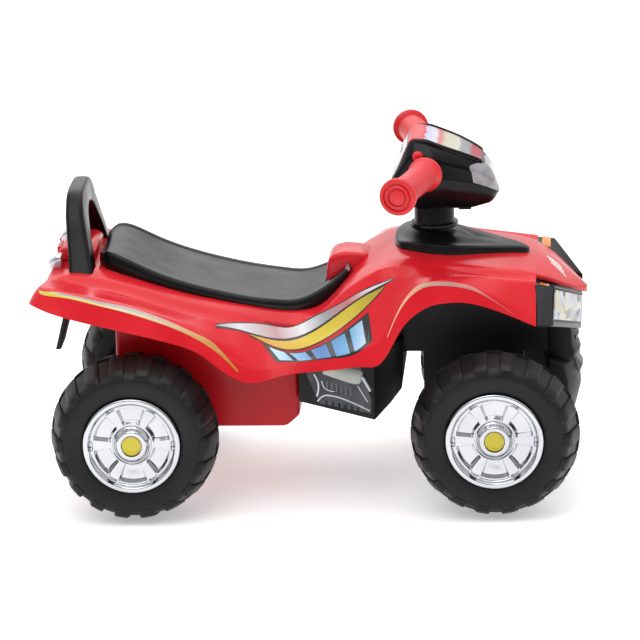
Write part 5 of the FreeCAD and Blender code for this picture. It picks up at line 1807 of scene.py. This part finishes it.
@dataclass
class ColumnBase:
    """Tear-shaped black plate on the hood that swells up to the steering post."""

    column: float = 136.0
    outline: tuple[Spot, ...] = ((-44, 28), (-34, 49), (-8, 60), (24, 54), (106, 7), (106, -7), (24, -54), (-8, -60),
                                 (-34, -49), (-44, -28))
    thickness: float = 6.0
    swell: float = 6.8
    swell_span: Spot = (26.0, 50.0)
    corner: float = 13.0
    middle: Place = (8.0, 0.0, 0.0)
    edge: float = 2.2
    edge_from: float = 0.9
    edge_shares: tuple[float, ...] = (0.925, 0.95, 0.97, 0.985, 0.995, 1.0)
    rings: int = 18
    sunk: float = 5.0

    def top(self, spot: Vector, body: BodyMoulding) -> float:
        """Height of the plate's upper face.

        Args:
            spot: Place on the plate, from the column.
            body: Moulding that carries it.

        Returns:
            Height above the floor.
        """
        x = self.column + spot.x
        swell = self.swell * (1 - eased(*self.swell_span, math.hypot(spot.x, spot.y)))
        return body.deck.height(x) + body.crown.height(x) + self.thickness + swell

    def build(self, body: BodyMoulding) -> Piece:
        """Plate with a rounded edge, laid on the body.

        Args:
            body: Moulding that carries the plate.

        Returns:
            The plate.
        """
        loop = ring([(along, across, 0) for along, across in self.outline], self.corner, 7)
        shares = [step / self.rings * self.edge_from for step in range(self.rings + 1)]
        rows = []
        for share in shares + list(self.edge_shares):
            over = max(0.0, share - self.edge_from) / (1 - self.edge_from)
            drop = self.edge * (1 - math.sqrt(max(0.0, 1 - over * over)))
            spots = [Vector(self.middle).lerp(point, share) for point in loop]
            rows.append([(self.column + spot.x, spot.y, self.top(spot, body) - drop) for spot in spots])
        rows.append([(self.column + point.x, point.y, body.deck.height(self.column + point.x) - self.sunk)
                     for point in loop])
        points, faces = loft(rows, closed=True)
        piece = mesh_piece("column_base_moulded", points, faces, SEAT_BLACK)
        return seat_on(piece, "chassis", "black_plastic", "column_base")


@dataclass
class Tub:
    """Red storage box with rounded outer corners."""

    half: float = 95.0
    wall: float = 2.5
    middle: float = -115.0
    rim_from: float = 200.0
    outer_round: float = 4.5
    inner_round: float = 3.0
    opening: float = 40.0
    profile: tuple[Spot, ...] = ((-217, 238), (-217, 118), (-129, 118), (-115, 86), (-29, 86), (-14, 99), (-14, 203),
                                 (-62, 210), (-113, 222), (-146, 230))

    def box(self, name: str, inset: float, round_mm: float, rise: float) -> Piece:
        """Box of the side view, smaller by an inset, its edges rounded.

        Args:
            name: Name of the piece.
            inset: Distance that every face moves inwards.
            round_mm: Width of the rounding.
            rise: Lift of the open top.

        Returns:
            The closed box.
        """
        outline = [(x + (inset if x < self.middle else -inset), z + (inset if z < self.rim_from else rise))
                   for x, z in self.profile]
        right, left = ([(x, y, z) for x, z in outline] for y in (inset - self.half, self.half - inset))
        # The box takes the darker red: painted shade under the body.
        return bevelled(prism(name, right, left, RED_BOX_PAINTED_SHADE), round_mm, segments=4, angle=30)

    def build(self) -> Piece:
        """Box with its room cut out.

        Returns:
            The open box.
        """
        box = self.box("storage_box", 0.0, self.outer_round, 0.0)
        carved(box, (self.box("storage_room", self.wall, self.inner_round, self.opening),))
        return seat_on(box, "chassis", "red_plastic", "storage_tub")


@dataclass
class EngineRelief:
    """Make-believe engine in relief on one side of the foot rest."""

    side: Side
    face: float = 108.0
    plate_depths: Spot = (-0.5, 1.5)
    pipe_proud: float = 1.2
    rib_proud: float = 1.8
    ribs: int = 6
    barrel_start: Spot = (15.0, 157.0)
    barrel_end: Spot = (50.0, 147.5)
    # Barrel from its start to its cupped end: share of the way, and radius.
    barrel_shape: tuple[Spot, ...] = ((0.0, 6.5), (0.5, 8.2), (0.8, 9.0), (1.0, 9.2), (1.1, 8.6), (1.17, 7.0),
                                      (1.2, 4.5), (1.21, 0.2))
    barrel_proud: float = 0.8
    barrel_flat: float = 0.45
    plate: tuple[Spot, ...] = ((-4, 170), (-4, 149), (9, 117), (66, 104.5), (67, 121), (56, 150), (56, 170))
    arcs: tuple[tuple[tuple[Spot, ...], float], ...] = (
        (((4, 151), (8.5, 138), (6.5, 125.5)), 1.5), (((7, 119.5), (13, 125.5), (22, 126), (43, 119), (65, 108)), 1.3),
        (((12, 143), (16, 134), (26, 130.5)), 0.9), (((57.5, 147), (66, 131)), 2.3), (((52, 137), (63, 118)), 1.1))

    def out(self, x: float, z: float, proud: float) -> Place:
        """Point on the face, standing out by so much."""
        return x, self.side.value * (self.face + proud), z

    def build(self, tubes: Tubes, copies: Copies) -> Piece:
        """Plate, barrel, pipes, fins and ribs as one piece.

        Args:
            tubes: Tree for the pipes.
            copies: Tree for the fins and ribs.

        Returns:
            The relief.
        """
        word = self.side.word
        back, front = ([self.out(x, z, proud) for x, z in self.plate] for proud in self.plate_depths)
        base = prism(f"engine_{word}_relief", back, front, GUNMETAL)
        others = [self.barrel()]
        for number, (line, radius) in enumerate(self.arcs):
            path = flowing(line)
            route = [self.out(*path(step / 20), self.pipe_proud) for step in range(21)]
            others.append(tubes.along(f"engine_{word}_pipe_{number}", route, radius, SILVER))
        for name, form, first, step, finish in (
                ("fin", ((-0.9, -0.8), (0.9, 0.8), 5.0), (18, 138.5), (5.2, 0, -1.6), GREY),
                ("rib", ((-1.2, -0.8), (1.2, 0.8), 2.6), (17, 117.5), (7.0, 0, -1.7), BLACK_GLOSS)):
            others.append(self.row(copies, name, form, first, step, finish))
        return seat_on(joined(base, others), "chassis", "grey_plastic", f"engine_panel_{self.side.word}")

    def barrel(self) -> Piece:
        """Pale round barrel that lies on the plate, with a cupped end.

        Returns:
            The barrel.
        """
        start, end = Vector(self.barrel_start), Vector(self.barrel_end)
        way = (end - start).normalized()
        across = Vector((-way.y, way.x))
        rows = []
        for share, radius in self.barrel_shape:
            middle = start.lerp(end, share)
            row = []
            for step in range(17):
                turn = math.pi * step / 16
                spot = middle + across * radius * math.cos(turn)
                proud = self.barrel_proud + self.barrel_flat * radius * math.sin(turn)
                row.append(self.out(spot.x, spot.y, proud))
            rows.append(row)
        points, faces = loft(rows)
        return mesh_piece(f"engine_{self.side.word}_barrel", points, faces, PALE_ABS)

    def row(self, copies: Copies, name: str, form: tuple[Spot, Spot, float], first: Spot, step: Place,
            finish: Finish) -> Piece:
        """Row of small upright ribs.

        Args:
            copies: Tree that repeats them.
            name: Name of the row.
            form: Lower and upper corner of a rib's section, and half its length.
            first: Place of the first rib.
            step: Distance from each rib to the next.
            finish: Surface.

        Returns:
            All ribs.
        """
        (x0, y0), (x1, y1), half = form
        section = ((x0, y0), (x0 * 0.8, y1), (x1 * 0.8, y1), (x1, y0))
        low, high = ([(x, self.side.value * y, z) for x, y in section] for z in (-half, half))
        rib = prism(f"engine_{self.side.word}_{name}", low, high, finish)
        repeated = copies.repeat(rib, self.ribs, finish, step=step)
        return moved(repeated, at(first[0], self.side.value * (self.face + self.rib_proud), first[1]))


@dataclass
class Studio:
    """Floor, light and camera."""

    azimuth: float = 3.88
    elevation: float = 15.4
    roll: float = -1.5
    distance: float = 4800.0
    target: Place = (4.7, 0.0, 182.5)
    lens: float = 239.3
    sensor: float = 36.0
    sweep: float = 9000.0
    room_strength: float = 0.95
    # Soft boxes: name, place, size in metres and power in watts.
    boxes: tuple[tuple[str, Place, float, float], ...] = (
        ("key", (-500, -1500, 2100), 1.5, 14.0), ("top", (200, 200, 2400), 2.2, 20.0),
        ("back", (-400, 1900, 1600), 1.6, 8.0))

    def build(self) -> None:
        """Set the stage."""
        self.floor()
        self.lights()
        self.camera()

    def floor(self) -> None:
        """Pale sweep behind and below the bike."""
        corners = [(x * self.sweep, y * self.sweep, 0) for x, y in ((-1, -1), (1, -1), (1, 1), (-1, 1))]
        mesh_piece("studio_floor", corners, [(0, 1, 2, 3)], STUDIO_PAPER)

    def lights(self) -> None:
        """Bright room, darker low down behind the camera, with soft boxes above."""
        bpy.context.scene.view_settings.view_transform = "Standard"
        world = bpy.data.worlds.new("studio_room")
        world.use_nodes = True
        tree = world.node_tree
        tree.nodes.clear()
        way = add(tree, "ShaderNodeTexCoord").outputs["Generated"]
        axes = add(tree, "ShaderNodeSeparateXYZ", {0: way})
        height = add(tree, "ShaderNodeMath", {0: axes.outputs["Y"], 1: 0.3, 2: axes.outputs["Z"]},
                     operation="MULTIPLY_ADD").outputs[0]
        room = ramp(tree, height, [(0.0, "#5c5c5e"), (0.1, "#8c8c8e"), (0.24, "#f2f2f2"), (1.0, "#ffffff")])
        glow = add(tree, "ShaderNodeBackground", {"Color": room, "Strength": self.room_strength})
        add(tree, "ShaderNodeOutputWorld", {"Surface": glow.outputs[0]})
        bpy.context.scene.world = world
        for name, place, size, power in self.boxes:
            light = bpy.data.lights.new(f"softbox_{name}", "AREA")
            light.size = size
            light.energy = power
            lamp = linked(light.name, light)
            lamp.location = Vector(place) * MM
            lamp.rotation_euler = (Vector((0, 0, 0.15)) - lamp.location).to_track_quat("-Z", "Y").to_euler()

    def camera(self) -> None:
        """Camera at the photograph's viewing angle."""
        a, e, r = (math.radians(value) for value in (self.azimuth, self.elevation, self.roll))
        back = Vector((math.sin(a) * math.cos(e), -math.cos(a) * math.cos(e), math.sin(e)))
        right = Vector((math.cos(a), math.sin(a), 0))
        up = back.cross(right)
        across = math.cos(r) * right + math.sin(r) * up
        upward = -math.sin(r) * right + math.cos(r) * up
        lens = bpy.data.cameras.new("studio_camera")
        lens.lens = self.lens
        lens.sensor_width = self.sensor
        lens.clip_end = 100.0
        camera = linked("studio_camera", lens)
        turn = Matrix((across, upward, back)).transposed().to_4x4()
        camera.matrix_world = Matrix.Translation(Vector(self.target) * MM + back * self.distance * MM) @ turn
        bpy.context.scene.camera = camera


# Wheels of one side: end, axle's X, distance of the middle from the bike's, and width.
WHEELS = ((End.FRONT, 204.0, 145.0, 74.0), (End.REAR, -193.0, 146.0, 88.0))

# Finish of each material slot, for the nodes that are shown as they are.
SLOT_FINISH = {
    "red_plastic": RED_ABS, "black_plastic": BLACK_GRAIN, "silver_plastic": SILVER, "steel": STEEL,
    "tyre_plastic": TYRE_PE, "plated_plastic": PLATED, "yellow_plastic": YELLOW, "grey_plastic": GREY,
    "grey_lens": SMOKE_LENS, "red_lens": RED_LENS}

# Nodes shown with softened edges: node, body, slot, finish and width of the rounding.
SOFTENED = (
    ("foot_rest", "chassis", "black_plastic", BLACK_GRAIN, 2.0),
    ("tail_cowl", "chassis", "red_plastic", RED_ABS, 3.5),
    ("reflectors", "chassis", "silver_plastic", REFLECTOR, 1.2),
    ("mud_flap", "chassis", "black_plastic", BLACK_GRAIN, 1.0),
    ("axle_beam", "chassis", "black_plastic", BLACK_GRAIN, 1.5),
    ("post_cover", "steering", "black_plastic", BLACK_GLOSS, 0.8),
    ("horn_button", "horn_button", "red_plastic", RED_ABS, 4.5),
    ("music_button_left", "music_button_left", "silver_plastic", SILVER, 1.0),
    ("music_button_right", "music_button_right", "silver_plastic", SILVER, 1.0))


def dress_nodes(frame: dict) -> None:
    """Give every node of the frame its slot's finish.
    """
    slots = {row["node"]: row["material_slot"] for row in frame["record"]["subparts"]}
    for node, piece in frame["nodes"].items():
        piece.data.materials.clear()
        piece.data.materials.append(SLOT_FINISH[slots[node]].material())


def main() -> None:
    """Dress the frame and set the stage."""
    logging.basicConfig(level=logging.INFO)
    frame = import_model()
    dress_nodes(frame)
    copies = Copies()
    tubes = Tubes()
    body = BodyMoulding()
    Graphics(surface_of(body.build())).build()
    SeatLid().build(body)
    Backrest().build()
    ColumnBase().build(body)
    Tub().build()
    for side in Side:
        for end, x, middle, width in WHEELS:
            Wheel(end, side, x, middle, width).build(copies)
        EngineRelief(side).build(tubes, copies)
        Grip(side).build()
        Headlight(side).build()
    FrontGuard().build(copies)
    HandlebarPod().build(tubes)
    for node, body_name, slot, finish, width in SOFTENED:
        softened(node, body_name, slot, finish, width)
    Studio().build()


if __name__ == "__main__":
    main()
